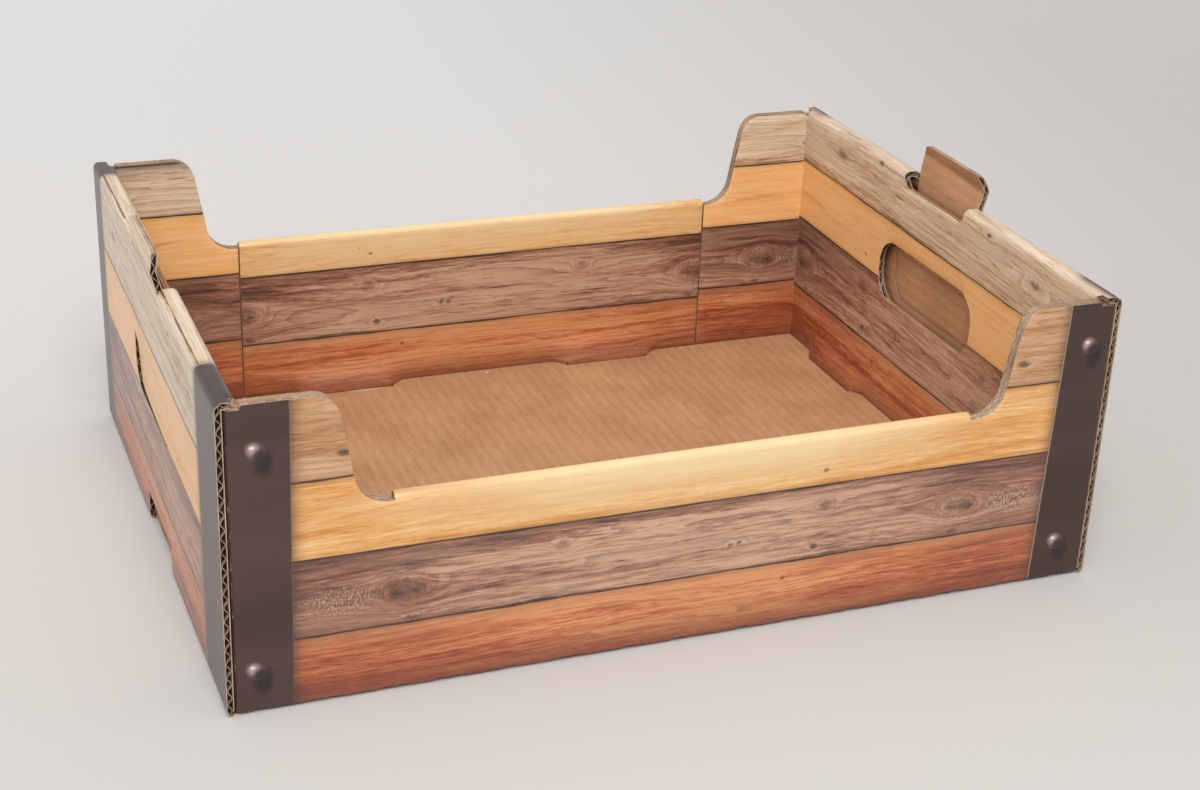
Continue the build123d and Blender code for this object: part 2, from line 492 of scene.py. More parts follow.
class Sheet:
    """One stretch of board: a flat cut-out that is folded up."""

    name = "sheet"
    number = 0
    printed = True
    crushed = 0.12
    medium_depths = np.array([0.05, 0.35, 0.7, 1.02])
    far_away = 40.0
    turn_start = math.inf
    turn_end = math.inf

    def loops(self) -> list[Loop]:
        """The outline and the holes of the flat cut-out."""
        raise NotImplementedError

    def grid(self) -> tuple[Array, Array]:
        """Places along and up the sheet whose crossings carry vertices."""
        raise NotImplementedError

    def folded(self, along: Array, up: Array, depth: Array) -> Array:
        """Places in the crate of points on the flat sheet, a depth under the print face."""
        raise NotImplementedError

    def across(self, along: Array, up: Array) -> Array:
        """The distance across the flutes, which lie level and in step with the end walls'."""
        return up + BOARD.fold * (QUARTER - 1)

    def print_place(self, along: Array, up: Array, mid_along: Array, mid_up: Array) -> tuple[Array, Array]:
        """Where the artwork lies under face corners: it goes on up the sheet."""
        return along, up

    def strap_place(self, along: Array, up: Array) -> tuple[Array, Array]:
        """How far inside a printed strap: from its long edge, and from its end."""
        far = np.full(len(along), -80.0)
        return far, far

    def ridge(self, along: Array, up: Array) -> Array:
        """The distance from the nearest fold, where the print is worn and painted shade darkens the kraft.
        """
        return np.full(len(along), self.far_away)

    def openness(self, places: Array) -> Array:
        """How far the cut edge stands open at each place: all the way, or crushed shut by the die."""
        return np.full(len(places), self.crushed)

    def shut(self, places: Array) -> Array:
        """Which places lie on an edge that the die has crushed."""
        return self.openness(places) < 0.5

    def corner_turn(self, along: Array) -> tuple[Array, Array]:
        """How far each place has turned round its corner fold, and how far it lies beyond the fold."""
        share = (np.abs(along) - self.turn_start) / (self.turn_end - self.turn_start)
        return np.clip(share, 0, 1) * QUARTER, np.clip(np.abs(along) - self.turn_end, 0, None)

    def _fill(self, loops: list[Loop], outers: list[Array]) -> tuple[Array, Array]:
        """Triangles between the outlines' points and the points inside them.

        Those inside are the grid's crossings, and a row along each edge where its pressing ends.

        Args:
            loops: The outline and the holes.
            outers: The points along each of them.

        Returns:
            Places on the flat sheet and the triangles between them.
        """
        crossings = np.stack(np.meshgrid(*self.grid()), axis=-1).reshape(-1, 2)
        for loop in loops:
            ring = loop.ring(BOARD.pressed_reach, BOARD.pressed_step)
            row = ring.inner[ring.cut & self.shut(ring.outer)]
            crossings = np.concatenate([crossings[nearest(crossings, row) > BOARD.row_room], row])
        crossings = crossings[inside(crossings, loops)]
        rim = np.concatenate(outers)
        points = np.concatenate([rim, crossings[nearest(crossings, rim) > BOARD.rim_room]])
        edges, base = [], 0
        for outer in outers:
            numbers = base + np.arange(len(outer))
            edges += list(zip(numbers.tolist(), np.roll(numbers, -1).tolist()))
            base += len(outer)
        result = geometry.delaunay_2d_cdt([Vector(pair) for pair in points.tolist()], edges, [], 0, 1e-5)
        places = np.array([tuple(v) for v in result[0]])
        triangles = np.array(result[2])
        triangles = triangles[inside(places[triangles].mean(axis=1), loops)]
        a, b, c = (places[triangles[:, k]] for k in range(3))
        turn = (b - a)[:, 0] * (c - a)[:, 1] - (b - a)[:, 1] * (c - a)[:, 0]
        whole = np.abs(turn) > 1e-7
        triangles, turn = triangles[whole], turn[whole]
        triangles[turn < 0] = triangles[turn < 0][:, ::-1]
        return places, triangles

    def _rim(self, ring: Ring, hole: bool) -> Strips:
        """The edges and inner faces of both liners, as deep as the cut edge stands open.

        Round a hole, a crushed edge has kraft pulled over it.

        Args:
            ring: The points along the outline.
            hole: True for a hole.

        Returns:
            Points along, up and through the sheet, arrays of faces, and the slot of each.
        """
        outer, inner, size = ring.outer, ring.inner, len(ring.outer)
        thick, liner = BOARD.thickness, BOARD.liner
        levels = [(outer, thick), (outer, thick - liner), (inner, thick - liner)]
        levels += [(inner, liner), (outer, liner), (outer, 0.0)]
        flat = np.concatenate([np.column_stack([line, np.full(size, height)]) for line, height in levels])
        pulled = self.shut(outer) & hole
        high = np.arange(size)
        ahead = np.roll(high, -1)
        faces = []
        for start in range(0, size * (len(levels) - 1), size):
            low = start + size
            rim = np.column_stack([high + start, high + low, ahead + low, ahead + start])
            faces += [rim[~pulled], rim[pulled]]
        return flat, faces, [Face.CUT, Face.LINER] * (len(levels) - 1)

    def _medium(self, ring: Ring) -> Strips:
        """The strip of wavy medium behind one outline, a closed ribbon four points deep.

        Args:
            ring: The points along the outline.

        Returns:
            Points along, up and through the sheet, arrays of faces, and the slot of each.
        """
        closed = bool(ring.cut.all())
        runs = [np.arange(len(ring.cut))]
        if not closed:
            order = np.roll(runs[0], -int(np.argmin(ring.cut)))
            breaks = np.split(order, np.where(np.diff(ring.cut[order].astype(int)) != 0)[0] + 1)
            runs = [run for run in breaks if ring.cut[run[0]] and len(run) > 2]
        flats, faces, base = [np.zeros((0, 3))], [], 0
        for run in runs:
            outer, inner = ring.outer[run][:, None], ring.inner[run][:, None]
            flat = outer + (inner - outer) * self.medium_depths[:, None]
            height = BOARD.wave(self.across(flat[..., 0], flat[..., 1]))
            for shift in (BOARD.medium / 2, -BOARD.medium / 2):
                flats.append(np.concatenate([flat, height[..., None] + shift], axis=2).reshape(-1, 3))
            top = np.arange(height.size).reshape(height.shape) + base
            low = top + height.size
            base += 2 * height.size
            here = np.arange(len(run) if closed else len(run) - 1)
            ahead = (here + 1) % len(run)
            up, up_next, down, down_next = top[here], top[ahead], low[here], low[ahead]
            quads = [
                (up[:, :-1], up_next[:, :-1], up_next[:, 1:], up[:, 1:]),
                (down[:, :-1], down[:, 1:], down_next[:, 1:], down_next[:, :-1]),
                (up[:, 0], down[:, 0], down_next[:, 0], up_next[:, 0]),
                (up[:, -1], up_next[:, -1], down_next[:, -1], down[:, -1]),
            ]
            if not closed:
                quads.append((top[0, :-1], top[0, 1:], low[0, 1:], low[0, :-1]))
                quads.append((top[-1, :-1], low[-1, :-1], low[-1, 1:], top[-1, 1:]))
            faces += [np.stack(quad, -1).reshape(-1, 4) for quad in quads]
        return np.concatenate(flats), faces, [Face.MEDIUM] * len(faces)

    def build(self, stock: "Stock", body: str = CRATE, node: str = CRATE_NODE) -> bpy.types.Object:
        """Cuts, opens and folds the sheet.

        Args:
            stock: The finishes.
            body: The body that carries the piece.
            node: The node that it stands for.

        Returns:
            The finished piece.
        """
        loops = self.loops()
        rings = []
        for loop in loops:
            outer, inner, cut = loop.ring(BOARD.open_depth, BOARD.edge_step)
            rings.append(Ring(outer, outer + (inner - outer) * self.openness(outer)[:, None], cut))
        places, triangles = self._fill(loops, [ring.outer for ring in rings])
        base = 2 * len(places)
        level = np.zeros(len(places))
        flats = [np.column_stack([places, level + BOARD.thickness]), np.column_stack([places, level])]
        faces = [triangles, triangles[:, ::-1] + len(places)]
        kinds = [Face.PRINT, Face.LINER]
        for number, ring in enumerate(rings):
            for flat, strips, slots in (self._rim(ring, number > 0), self._medium(ring)):
                flats.append(flat)
                faces += [strip + base for strip in strips]
                kinds += slots
                base += len(flat)
        flat = np.concatenate(flats)
        pressed = np.concatenate([ring.outer[ring.cut & self.shut(ring.outer)] for ring in rings])
        height = BOARD.pressed_height(flat[:, 2], nearest(flat[:, :2], pressed))
        shape = self.folded(flat[:, 0], flat[:, 1], BOARD.thickness - height)
        mesh = new_mesh(self.name, shape, faces, kinds)
        self._write_maps(mesh, flat, faces, np.concatenate([ring.outer[ring.cut] for ring in rings]))
        close_up(mesh)
        front = stock.print_liner if self.printed else stock.kraft
        return add_piece(mesh, [front, stock.kraft, stock.cut, stock.medium], body, node)

    def _write_maps(self, mesh: bpy.types.Mesh, flat: Array, faces: list[Array], edge: Array) -> None:
        """Writes the maps that the finishes read, a pair of millimetres for each face corner.

        Args:
            mesh: The folded mesh.
            flat: Its vertices on the flat sheet.
            faces: Its faces, as they were made.
            edge: Points along the cut edges.
        """
        corners = np.concatenate([part.ravel() for part in faces])
        middles = [np.repeat(flat[part][:, :, :2].mean(axis=1), part.shape[1], axis=0) for part in faces]
        along, up = flat[corners, 0], flat[corners, 1]
        art_along, art_up = self.print_place(along, up, *np.concatenate(middles).T)
        maps = {
            "artwork": (art_along + SHEET_PITCH * self.number, art_up),
            "strap": self.strap_place(along, up),
            "flutes": (self.across(along, up), along + up),
            # Distances from the cut edges and from the folds: they place worn print, and painted shade in
            # open edges and on creased kraft.
            "wear_and_shade": (nearest(flat[:, :2], edge)[corners], self.ridge(along, up)),
        }
        for name, pair in maps.items():
            layer = mesh.uv_layers.new(name=name)
            layer.data.foreach_set("uv", np.column_stack(pair).astype(np.float32).ravel())


@dataclass
class CrateSizes:
    """The sizes that the walls share, from the frame's box and the crate's cut-out."""

    length: float = 400.0
    width: float = 300.0
    end_height: float = 138.0
    ear_height: float = 136.5
    ear_foot: float = 87.5
    ear_top_length: float = 47.1
    ear_slope: float = 8.9
    ear_top_radius: float = 11.0
    ear_foot_radius: float = 14.0
    middle_height: float = 90.5
    middle_half: float = 130.0
    seam_gap: float = 0.8
    foot: float = 3.3
    end_layers: float = 9.4
    side_layers: float = 6.2
    notch_low: float = -30.5
    notch_high: float = 28.0
    notch_height: float = 16.0
    notch_radius: float = 3.0
    tab_low: float = -30.0
    tab_high: float = 27.5
    tab_joint: float = 125.0
    lock_half: float = 23.0
    lock_end_place: float = 85.8
    lock_side_place: float = 74.0
    lock_bow_end: float = 4.6
    lock_bow_side: float = 5.4
    lock_bow_height: float = 17.3
    lock_bow_blend: float = 9.0
    lock_bow_power: float = 1.2
    lock_clearance: float = 0.8
    lock_slot: float = 3.6

    def end_face(self) -> float:
        """The printed face inside an end wall, from the crate's middle."""
        return self.length / 2 - self.end_layers

    def side_face(self) -> float:
        """The printed face inside a long wall, from the crate's middle."""
        return self.width / 2 - self.side_layers

    def under_strip(self) -> float:
        """How high the layers under an end wall's rolled top reach."""
        return self.end_height - BOARD.thickness - BOARD.clearance

    def lock(self, place: float, foot: float, tip: float) -> list[Corner]:
        """A lock tab of the flat sheet, and the foot of the panel on both of its sides."""
        low, high = place - self.lock_half, place + self.lock_half
        return [Corner(high, foot), Corner(high, tip), Corner(low, tip), Corner(low, foot)]

    def bow(self, along: Array, height: Array, place: float, amount: float) -> Array:
        """How far the foot of an inner panel swings inwards at its two lock tabs.

        It is a window round each tab times nearly the share of the way down from the bow's height.

        Args:
            along: Places along the panel, from its middle.
            height: Their heights.
            place: Where the tabs' middles are.
            amount: How far the foot swings.

        Returns:
            The distances inwards.
        """
        near = window(np.abs(along) - place, self.lock_half, self.lock_bow_blend)
        low = np.clip((self.lock_bow_height - height) / (self.lock_bow_height - self.foot), 0, 1)
        return amount * near * low**self.lock_bow_power


@dataclass
class LongWall(Sheet):
    """A long wall: outer panel with two ears and corner flaps, rolled middle and inner panel."""

    sizes: CrateSizes
    turn: float
    name: str
    number: int
    flap_length: float = 71.6
    flap_taper: float = 6.0
    ear_corner_radius: float = 1.2
    corner_gap: float = 3.2
    strap_left: float = 172.6
    strap_left_lean: float = -0.010
    strap_right: float = 170.4
    strap_right_lean: float = 0.030
    square_right: float = 0.8
    profile: Profile = field(init=False)
    upright: Profile = field(init=False)

    def __post_init__(self) -> None:
        """Works out the side views: rolled in the middle, upright at the ears."""
        fold = BOARD.fold
        start, rise = self.sizes.width / 2 - fold, self.sizes.middle_height - 2 * fold
        foot, rest = (fold * QUARTER, QUARTER), (BOARD.more_than_sheet, 0.0)
        self.profile = Profile(start, [foot, (rise, 0.0), (math.pi * fold, math.pi), rest])
        self.upright = Profile(start, [foot, rest])
        self.foot_run, self.roll_start, self.roll_end = self.profile.starts[1:]
        self.turn_start = self.sizes.length / 2 - self.corner_gap - fold
        self.turn_end = self.turn_start + fold * QUARTER

    def reach(self, height: float) -> float:
        """Where a height of the outer panel lies up the flat sheet."""
        return self.foot_run + height - BOARD.fold

    def inner_reach(self, height: float) -> float:
        """Where a height of the inner panel lies up the flat sheet."""
        return self.roll_end + self.sizes.middle_height - BOARD.fold - height

    def loops(self) -> list[Loop]:
        """The outline, bottom first, then the right half up to the roll's foot, and its mirror.

        Returns:
            The outline alone.
        """
        size, taper = self.sizes, self.flap_taper
        face = size.end_face() - BOARD.clearance
        top = size.length / 2 - size.ear_top_length
        flap_end = self.turn_end + self.flap_length
        foot, under = self.reach(size.foot), self.reach(size.under_strip())
        ear, ear_foot = self.reach(size.ear_height), self.reach(size.ear_foot)
        inner_foot = self.inner_reach(size.foot)
        right = [
            Corner(self.turn_end, 0.0),
            Corner(self.turn_end, foot),
            Corner(flap_end - taper, foot),
            Corner(flap_end, foot + taper),
            Corner(flap_end, under - taper),
            Corner(flap_end - taper, under),
            Corner(face, under),
            Corner(face, ear, self.ear_corner_radius),
            Corner(top, ear, size.ear_top_radius),
            Corner(top - size.ear_slope, ear_foot, size.ear_foot_radius),
            Corner(size.middle_half, ear_foot),
            Corner(size.middle_half, inner_foot),
            *size.lock(size.lock_side_place, inner_foot, self.inner_reach(0.0)),
        ]
        left = mirrored(right)
        left[-1] = left[-1]._replace(cut=False)
        return [Loop(right + left)]

    def grid(self) -> tuple[Array, Array]:
        """Columns 8 mm apart, closer round the corner fold, and rows closer in the folds.

        Returns:
            Places along and up the sheet.
        """
        size = self.sizes
        bow = self.inner_reach(size.lock_bow_height)
        half = spread(
            (0, size.middle_half, 18),
            (size.middle_half + 8, self.turn_start - 4, 8),
            (self.turn_start, self.turn_end, 7),
            (self.turn_end + 8, self.turn_end + self.flap_length - 8, 6),
        )
        rows = spread(
            (0.6, self.foot_run, 6),
            (self.foot_run + 6, self.roll_start - 4, 10),
            (self.roll_start, self.roll_end, 13),
            (self.roll_end + 5, bow - 2, 9),
            (bow, self.inner_reach(size.foot), 7),
            (self.reach(size.middle_height + 5), self.reach(size.ear_height - 5), 6),
        )
        return np.unique([-half, half]), np.unique(rows)

    def folded(self, along: Array, up: Array, depth: Array) -> Array:
        """The profile carried along the wall, and turned about each corner's upright axis.

        The right-hand fold is pressed nearly square: its arm grows as one over the larger of the
        turn's sine and cosine.

        Args:
            along: Places along the sheet.
            up: Places up the sheet.
            depth: Depths under the print face.

        Returns:
            Places in the crate.
        """
        size = self.sizes
        ear = np.abs(along) > size.middle_half + 0.01
        out, height = np.where(ear, self.upright.at(up, depth), self.profile.at(up, depth))
        bow = size.bow(along, height, size.lock_side_place, size.lock_bow_side)
        out = out - np.where(~ear & (up > self.roll_end), bow, 0.0)
        centre = size.width / 2 - BOARD.fold
        angle, beyond = self.corner_turn(along)
        cosine, sine = np.cos(angle), np.sin(angle)
        square = 1 / np.maximum(cosine, sine) - 1
        arm = (out - centre) * (1 + np.where(along > 0, self.square_right, 0.0) * square)
        place = np.where(angle > 0, self.turn_start + arm * sine, np.abs(along))
        out = np.where(angle > 0, centre + arm * cosine - beyond, out)
        return np.column_stack([self.turn * np.copysign(place, along), -self.turn * out, height])

    def across(self, along: Array, up: Array) -> Array:
        """Its flutes stand upright, so the distance runs along the wall."""
        return along

    def print_place(self, along: Array, up: Array, mid_along: Array, mid_up: Array) -> tuple[Array, Array]:
        """Planks over the outer panel and the roll, and again, 5 mm higher, on the inner panel.

        Args:
            along: Places of the corners along the sheet.
            up: Places of the corners up the sheet.
            mid_along: Places of their faces' middles along the sheet.
            mid_up: Places of their faces' middles up the sheet.

        Returns:
            Places along the planks, and over the bottom of the lowest plank.
        """
        outer = up - self.foot_run + BOARD.fold
        height = self.sizes.middle_height - BOARD.fold - (up - self.roll_end)
        inner = through_stops(height, (0.0, 33.0, 71.0, 108.0, 140.0), (0.0, 31.5, 66.5, 101.0, 133.0))
        middle = np.abs(mid_along) < self.sizes.middle_half
        rolled = middle & (mid_up > (self.roll_start + self.roll_end) / 2)
        return along, np.where(rolled, inner, outer)

    def strap_place(self, along: Array, up: Array) -> tuple[Array, Array]:
        """A strap from each corner to its slightly leaning edge, with no end.

        Args:
            along: Places along the sheet.
            up: Places up the sheet.

        Returns:
            Depths inside the strap from its long edge, and from its end.
        """
        height = up - self.foot_run + BOARD.fold
        left = -along - self.strap_left - self.strap_left_lean * height
        right = along - self.strap_right - self.strap_right_lean * height
        return np.maximum(left, right), np.full(len(along), 60.0)

    def ridge(self, along: Array, up: Array) -> Array:
        """The distance from the roll's two lines, the foot and the corner folds, where the print is worn
        and painted shade darkens the kraft.

        Args:
            along: Places along the sheet.
            up: Places up the sheet.

        Returns:
            Distances from the nearest of them.
        """
        roll = np.minimum(np.abs(up - self.roll_start - 1.5), np.abs(up - self.roll_end + 1.5) + 0.3)
        roll = np.where(np.abs(along) < self.sizes.middle_half + 0.01, roll, self.far_away)
        corner = np.abs(np.abs(along) - (self.turn_start + self.turn_end) / 2)
        return np.minimum.reduce([roll, corner, np.abs(up - self.foot_run / 2)])


@dataclass
class EndWall(Sheet):
    """An end wall: outer panel, rolled top, inner panel and its two wings."""

    sizes: CrateSizes
    side: float
    name: str
    number: int
    slot_low: float = -28.5
    slot_high: float = 31.5
    slot_bottom: float = 130.5
    slot_front_radius: float = 5.0
    slot_back_radius: float = 7.0
    hole_low: float = -45.5
    hole_high: float = 48.5
    hole_bottom: float = 65.0
    hole_top: float = 97.5
    hole_radius: float = 14.0
    flap_half: float = 42.15
    flap_bottom: float = 65.85
    flap_top: float = 91.1
    flap_radius: float = 13.15
    strap_front: float = 111.0
    strap_back: float = 130.0
    strap_over: float = 3.4
    wing_mirror: float = 153.0
    inner_shift: float = 2.5
    foot_radius: float = 2.6
    strip_inset: float = 1.0
    strip_slope: float = 0.2
    slit_foot: float = 0.5
    slit_rise: float = 0.6
    slit_lean: float = 0.1
    raw_slot_corner: float = 5.0
    raw_hole_corner: float = 9.0
    # Where the hollow behind the tab's back end lies, and the mark that makes its kraft darkest as painted
    # shade.
    hollow_half: float = 4.5
    hollow_drop: float = 5.0
    hollow_reach: float = 5.2
    hollow_shade_mark: float = -5.0
    profile: Profile = field(init=False)

    def __post_init__(self) -> None:
        """Works out the side view: foot, outer panel, rolled top, and inner panel downwards."""
        size, fold = self.sizes, BOARD.fold
        arc = (fold * QUARTER, QUARTER)
        rise, strip = (size.end_height - 2 * fold, 0.0), (size.end_layers - 2 * fold, 0.0)
        runs = [arc, rise, arc, strip, arc, (BOARD.more_than_sheet, 0.0)]
        self.profile = Profile(size.length / 2 - fold, runs)
        self.starts = self.profile.starts
        self.turn_start = size.side_face() - BOARD.tight_fold
        self.turn_end = self.turn_start + QUARTER * (BOARD.tight_fold + BOARD.thickness / 2)
        self.wing_end = self.wing(size.middle_half + size.seam_gap)

    def reach(self, height: float) -> float:
        """Where a height of the outer panel lies up the flat sheet."""
        return self.starts[1] + height - BOARD.fold

    def inner_reach(self, height: float) -> float:
        """Where a height of the inner panel and its wings lies up the flat sheet."""
        return self.starts[5] + self.sizes.end_height - BOARD.fold - height

    def inner_height(self, up: Array) -> Array:
        """How high a place of the inner panel and its wings stands."""
        return self.sizes.end_height - BOARD.fold - (up - self.starts[5])

    def wing(self, place: float) -> float:
        """Where a place along the crate lies on a wing of the flat sheet."""
        return self.turn_end + self.sizes.end_face() - BOARD.tight_fold - place

    def _hole(self, corners: list[Corner]) -> Loop:
        """A hole whose corners are given along the crate's own direction."""
        return Loop(corners if self.side > 0 else mirrored(corners), hole=True)

    def _slot(self) -> Loop:
        """The slot in the rolled top, and the part of the outer panel that goes on as the tab.

        Returns:
            The hole.
        """
        size = self.sizes
        joint, fold, top = self.reach(size.tab_joint), self.starts[2], self.inner_reach(self.slot_bottom)
        return self._hole(
            [
                Corner(size.tab_low, joint, 0.0, False),
                Corner(size.tab_high, joint, 0.0, False),
                Corner(size.tab_high, fold),
                Corner(self.slot_high, fold, 0.95 * (self.slot_high - size.tab_high)),
                Corner(self.slot_high, top, self.slot_back_radius),
                Corner(self.slot_low, top, self.slot_front_radius),
                Corner(self.slot_low, fold),
                Corner(size.tab_low, fold, 0.0, False),
            ]
        )

    def openness(self, places: Array) -> Array:
        """Raw where a cut crosses the flutes, and crushed shut along them and on the wings.

        Args:
            places: Points on the flat sheet.

        Returns:
            How far the edge stands open at each.
        """
        along, up = places.T
        hole_low, hole_high = self.inner_reach(self.hole_top), self.inner_reach(self.hole_bottom)
        shut = (np.abs(along) > self.turn_start) & (up > self.starts[4])
        slot = (self.raw_slot_corner, self.starts[2], self.inner_reach(self.slot_bottom))
        for start, end, corner, low, high in (
            (self.slot_low, self.slot_high, *slot),
            (self.hole_low, self.hole_high, self.raw_hole_corner, hole_low, hole_high),
        ):
            beside = np.abs(along - (start + end) / 2 * self.side) - (end - start) / 2
            shut |= (beside < -corner) & (up > low - 0.1) & (up < high + 0.1)
        return np.where(shut, self.crushed, 1.0)

    def loops(self) -> list[Loop]:
        """The outline with its notch, then slot, hand hole and the flap's opening.

        Returns:
            The outline and the holes.
        """
        size = self.sizes
        half, start, end = size.width / 2, self.turn_start, self.turn_end
        under, ear = self.inner_reach(size.under_strip()), self.inner_reach(size.ear_height)
        ear_foot, foot = self.inner_reach(size.ear_foot), self.inner_reach(size.foot)
        top = size.length / 2 - size.ear_top_length
        right = [
            Corner(half, 0.0, self.foot_radius),
            Corner(half, self.starts[3] - self.strip_inset - self.strip_slope),
            Corner(half - self.strip_inset, self.starts[3] - self.strip_inset),
            Corner(half - self.strip_inset, self.starts[4]),
            Corner(start + self.slit_foot, self.starts[4] + self.slit_rise),
            Corner(start + self.slit_lean, under),
            Corner(end, under),
            Corner(end + self.slit_lean, ear),
            Corner(self.wing(top), ear, size.ear_top_radius),
            Corner(self.wing(top - size.ear_slope), ear_foot, size.ear_foot_radius),
            Corner(self.wing_end, ear_foot),
            Corner(self.wing_end, foot),
            *size.lock(size.lock_end_place, foot, self.inner_reach(0.0)),
        ]
        left = mirrored(right)
        left[-1] = left[-1]._replace(cut=False)
        low, high = sorted((self.side * size.notch_low, self.side * size.notch_high))
        crown = self.reach(size.notch_height)
        notch = [Corner(low, 0.0), Corner(low, crown, size.notch_radius)]
        notch += [Corner(high, crown, size.notch_radius), Corner(high, 0.0, 0.0, False)]
        rows = (self.inner_reach(self.hole_top), self.inner_reach(self.hole_bottom))
        hole = rectangle((self.hole_low, self.hole_high), rows, (self.hole_radius, self.hole_radius))
        rows = (self.reach(self.flap_bottom), self.reach(self.flap_top))
        opening = rectangle((-self.flap_half, self.flap_half), rows, (self.flap_radius, 0.0), creased=True)
        outline = Loop(left[-1:] + notch + right + left[:-1])
        return [outline, self._slot(), self._hole(hole), self._hole(opening)]

    def grid(self) -> tuple[Array, Array]:
        """Columns 8 mm apart, closer in the corner fold, and rows closer in the folds.

        Returns:
            Places along and up the sheet.
        """
        straps = [self.strap_front - 6, self.strap_front, self.strap_front + 3, self.strap_back]
        places = spread(
            (0, self.turn_start - 5, 19),
            (self.turn_start, self.turn_end, 5),
            (self.turn_end + 6, self.wing_end - 5, 8),
        )
        half = np.concatenate([places, straps])
        starts, bow = self.starts, self.inner_reach(self.sizes.lock_bow_height)
        rows = spread(
            (0.6, starts[1], 6),
            (starts[1] + 6, starts[2] - 4, 15),
            (starts[2], starts[3], 7),
            (starts[3], starts[4], 3),
            (starts[4], starts[5], 7),
            (starts[5] + 4, bow - 3, 14),
            (bow, self.inner_reach(self.sizes.foot), 7),
        )
        return np.unique([-half, half]), np.unique(rows)

    def folded(self, along: Array, up: Array, depth: Array) -> Array:
        """The profile carried across the crate, with both wings turned about the corner's inner edge.

        Args:
            along: Places along the sheet.
            up: Places up the sheet.
            depth: Depths under the print face.

        Returns:
            Places in the crate.
        """
        size = self.sizes
        out, height = self.profile.at(up, depth)
        bow = size.bow(along, height, size.lock_end_place, size.lock_bow_end)
        out = out - np.where(up > self.starts[5], bow, 0.0)
        angle, beyond = self.corner_turn(along)
        turned = (angle > 0) & (up > (self.starts[4] + self.starts[5]) / 2)
        arm = BOARD.tight_fold + depth
        centre = size.end_face() - BOARD.tight_fold
        out = np.where(turned, centre + arm * np.cos(angle) - beyond, out)
        place = np.where(turned, self.turn_start + arm * np.sin(angle), np.abs(along))
        height = np.where(turned, self.inner_height(up), height)
        return np.column_stack([self.side * out, self.side * np.copysign(place, along), height])

    def across(self, along: Array, up: Array) -> Array:
        """Its flutes lie level, so the distance runs up the sheet."""
        return up

    def print_place(self, along: Array, up: Array, mid_along: Array, mid_up: Array) -> tuple[Array, Array]:
        """Planks up the outer panel to the strip, and down again, a little out of true, inside.

        The artwork is mirrored where a wing meets the inner panel.

        Args:
            along: Places of the corners along the sheet.
            up: Places of the corners up the sheet.
            mid_along: Places of their faces' middles along the sheet.
            mid_up: Places of their faces' middles up the sheet.

        Returns:
            Places along the planks, and over the bottom of the lowest plank.
        """
        slant = np.clip(self.side * along / 140.0, -1, 1)
        height = self.inner_height(up)
        second, third = 73.8 + 2.4 * slant, 107.6 + 2.0 * slant
        panel = through_stops(height, (-5, 34.6, second, third, third + 40), (-5, 31.5, 66.5, 101, 141))
        line = through_stops(height, (0, 37.1, 74.0, 108.5, 140), (0, 31.5, 66.5, 101.0, 132.5))
        corner = (self.turn_start + self.turn_end) / 2
        wing = np.abs(mid_along) > corner
        within = mid_up > (self.starts[3] + self.starts[4]) / 2
        mirror = np.copysign(self.wing_mirror - (np.abs(along) - corner), along)
        shifted = along - np.where(within, self.inner_shift * np.sign(along), 0.0)
        place = np.where(within & wing, mirror, shifted)
        inner = np.where(wing, line, panel)
        return place, np.where(within, inner, up - self.starts[1] + BOARD.fold)

    def strap_place(self, along: Array, up: Array) -> tuple[Array, Array]:
        """A wide strap at the front corner and a narrow one at the back, ending on the strip.

        Args:
            along: Places along the sheet.
            up: Places up the sheet.

        Returns:
            Depths inside the strap from its long edge, and from its end.
        """
        place = self.side * along
        wide, narrow = -place - self.strap_front, place - self.strap_back
        return np.maximum(wide, narrow), self.starts[3] + self.strap_over - up

    def ridge(self, along: Array, up: Array) -> Array:
        """The distance from the rolled top's two lines and the foot, where the print is worn and painted
        shade darkens the kraft.

        It is below nothing in the hollow behind the tab's back end, so that painted shade darkens the
        kraft there most.

        Args:
            along: Places along the sheet.
            up: Places up the sheet.

        Returns:
            Distances from the nearest of them.
        """
        starts = self.starts
        outer, inner = np.abs(up - (starts[2] + starts[3]) / 2), np.abs(up - (starts[4] + starts[5]) / 2)
        near = np.minimum.reduce([outer, inner + 0.2, np.abs(up - starts[1] / 2)])
        # Painted shade: the hollow behind the tab's back end gets the mark that darkens its kraft.
        painted_shade = np.abs(self.side * along - self.slot_high) < self.hollow_half
        painted_shade &= np.abs(up - starts[2] + self.hollow_drop) < self.hollow_reach
        return np.where(painted_shade, self.hollow_shade_mark, near)


@dataclass
class Floor(Sheet):
    """The floor, with its lock slots, and notches at the two ends. Both of its faces are plain."""

    sizes: CrateSizes
    name: str = "floor"
    number: int = 6
    printed = False

    def loops(self) -> list[Loop]:
        """A rectangle that meets the walls' foot folds, and eight slots.

        Returns:
            The outline and the slots.
        """
        size = self.sizes
        length, width = size.length / 2 - BOARD.fold, size.width / 2 - BOARD.fold
        right = [
            Corner(length, -width, 0.0, False),
            Corner(length, -size.notch_high),
            Corner(length, -size.notch_low, 0.0, False),
            Corner(length, width, 0.0, False),
        ]
        end = size.end_face() - size.lock_bow_end + BOARD.thickness / 2
        side = size.side_face() - size.lock_bow_side + BOARD.thickness / 2
        half, wide = size.lock_half + size.lock_clearance, size.lock_slot / 2
        slots = []
        for i in (-1, 1):
            slots += [(i * end, j * size.lock_end_place, wide, half) for j in (-1, 1)]
            slots += [(j * size.lock_side_place, i * side, half, wide) for j in (-1, 1)]
        corners = [rectangle((x - w, x + w), (y - h, y + h)) for x, y, w, h in slots]
        return [Loop(right + mirrored(right)), *(Loop(four, hole=True) for four in corners)]

    def grid(self) -> tuple[Array, Array]:
        """Crossings about 12 mm apart."""
        return np.linspace(-192, 192, 33), np.linspace(-142, 142, 25)

    def folded(self, along: Array, up: Array, depth: Array) -> Array:
        """Flat on the ground, with its print side down and the kraft side up."""
        return np.column_stack([along, -up, depth])

    def across(self, along: Array, up: Array) -> Array:
        """Its flutes run across the crate."""
        return along


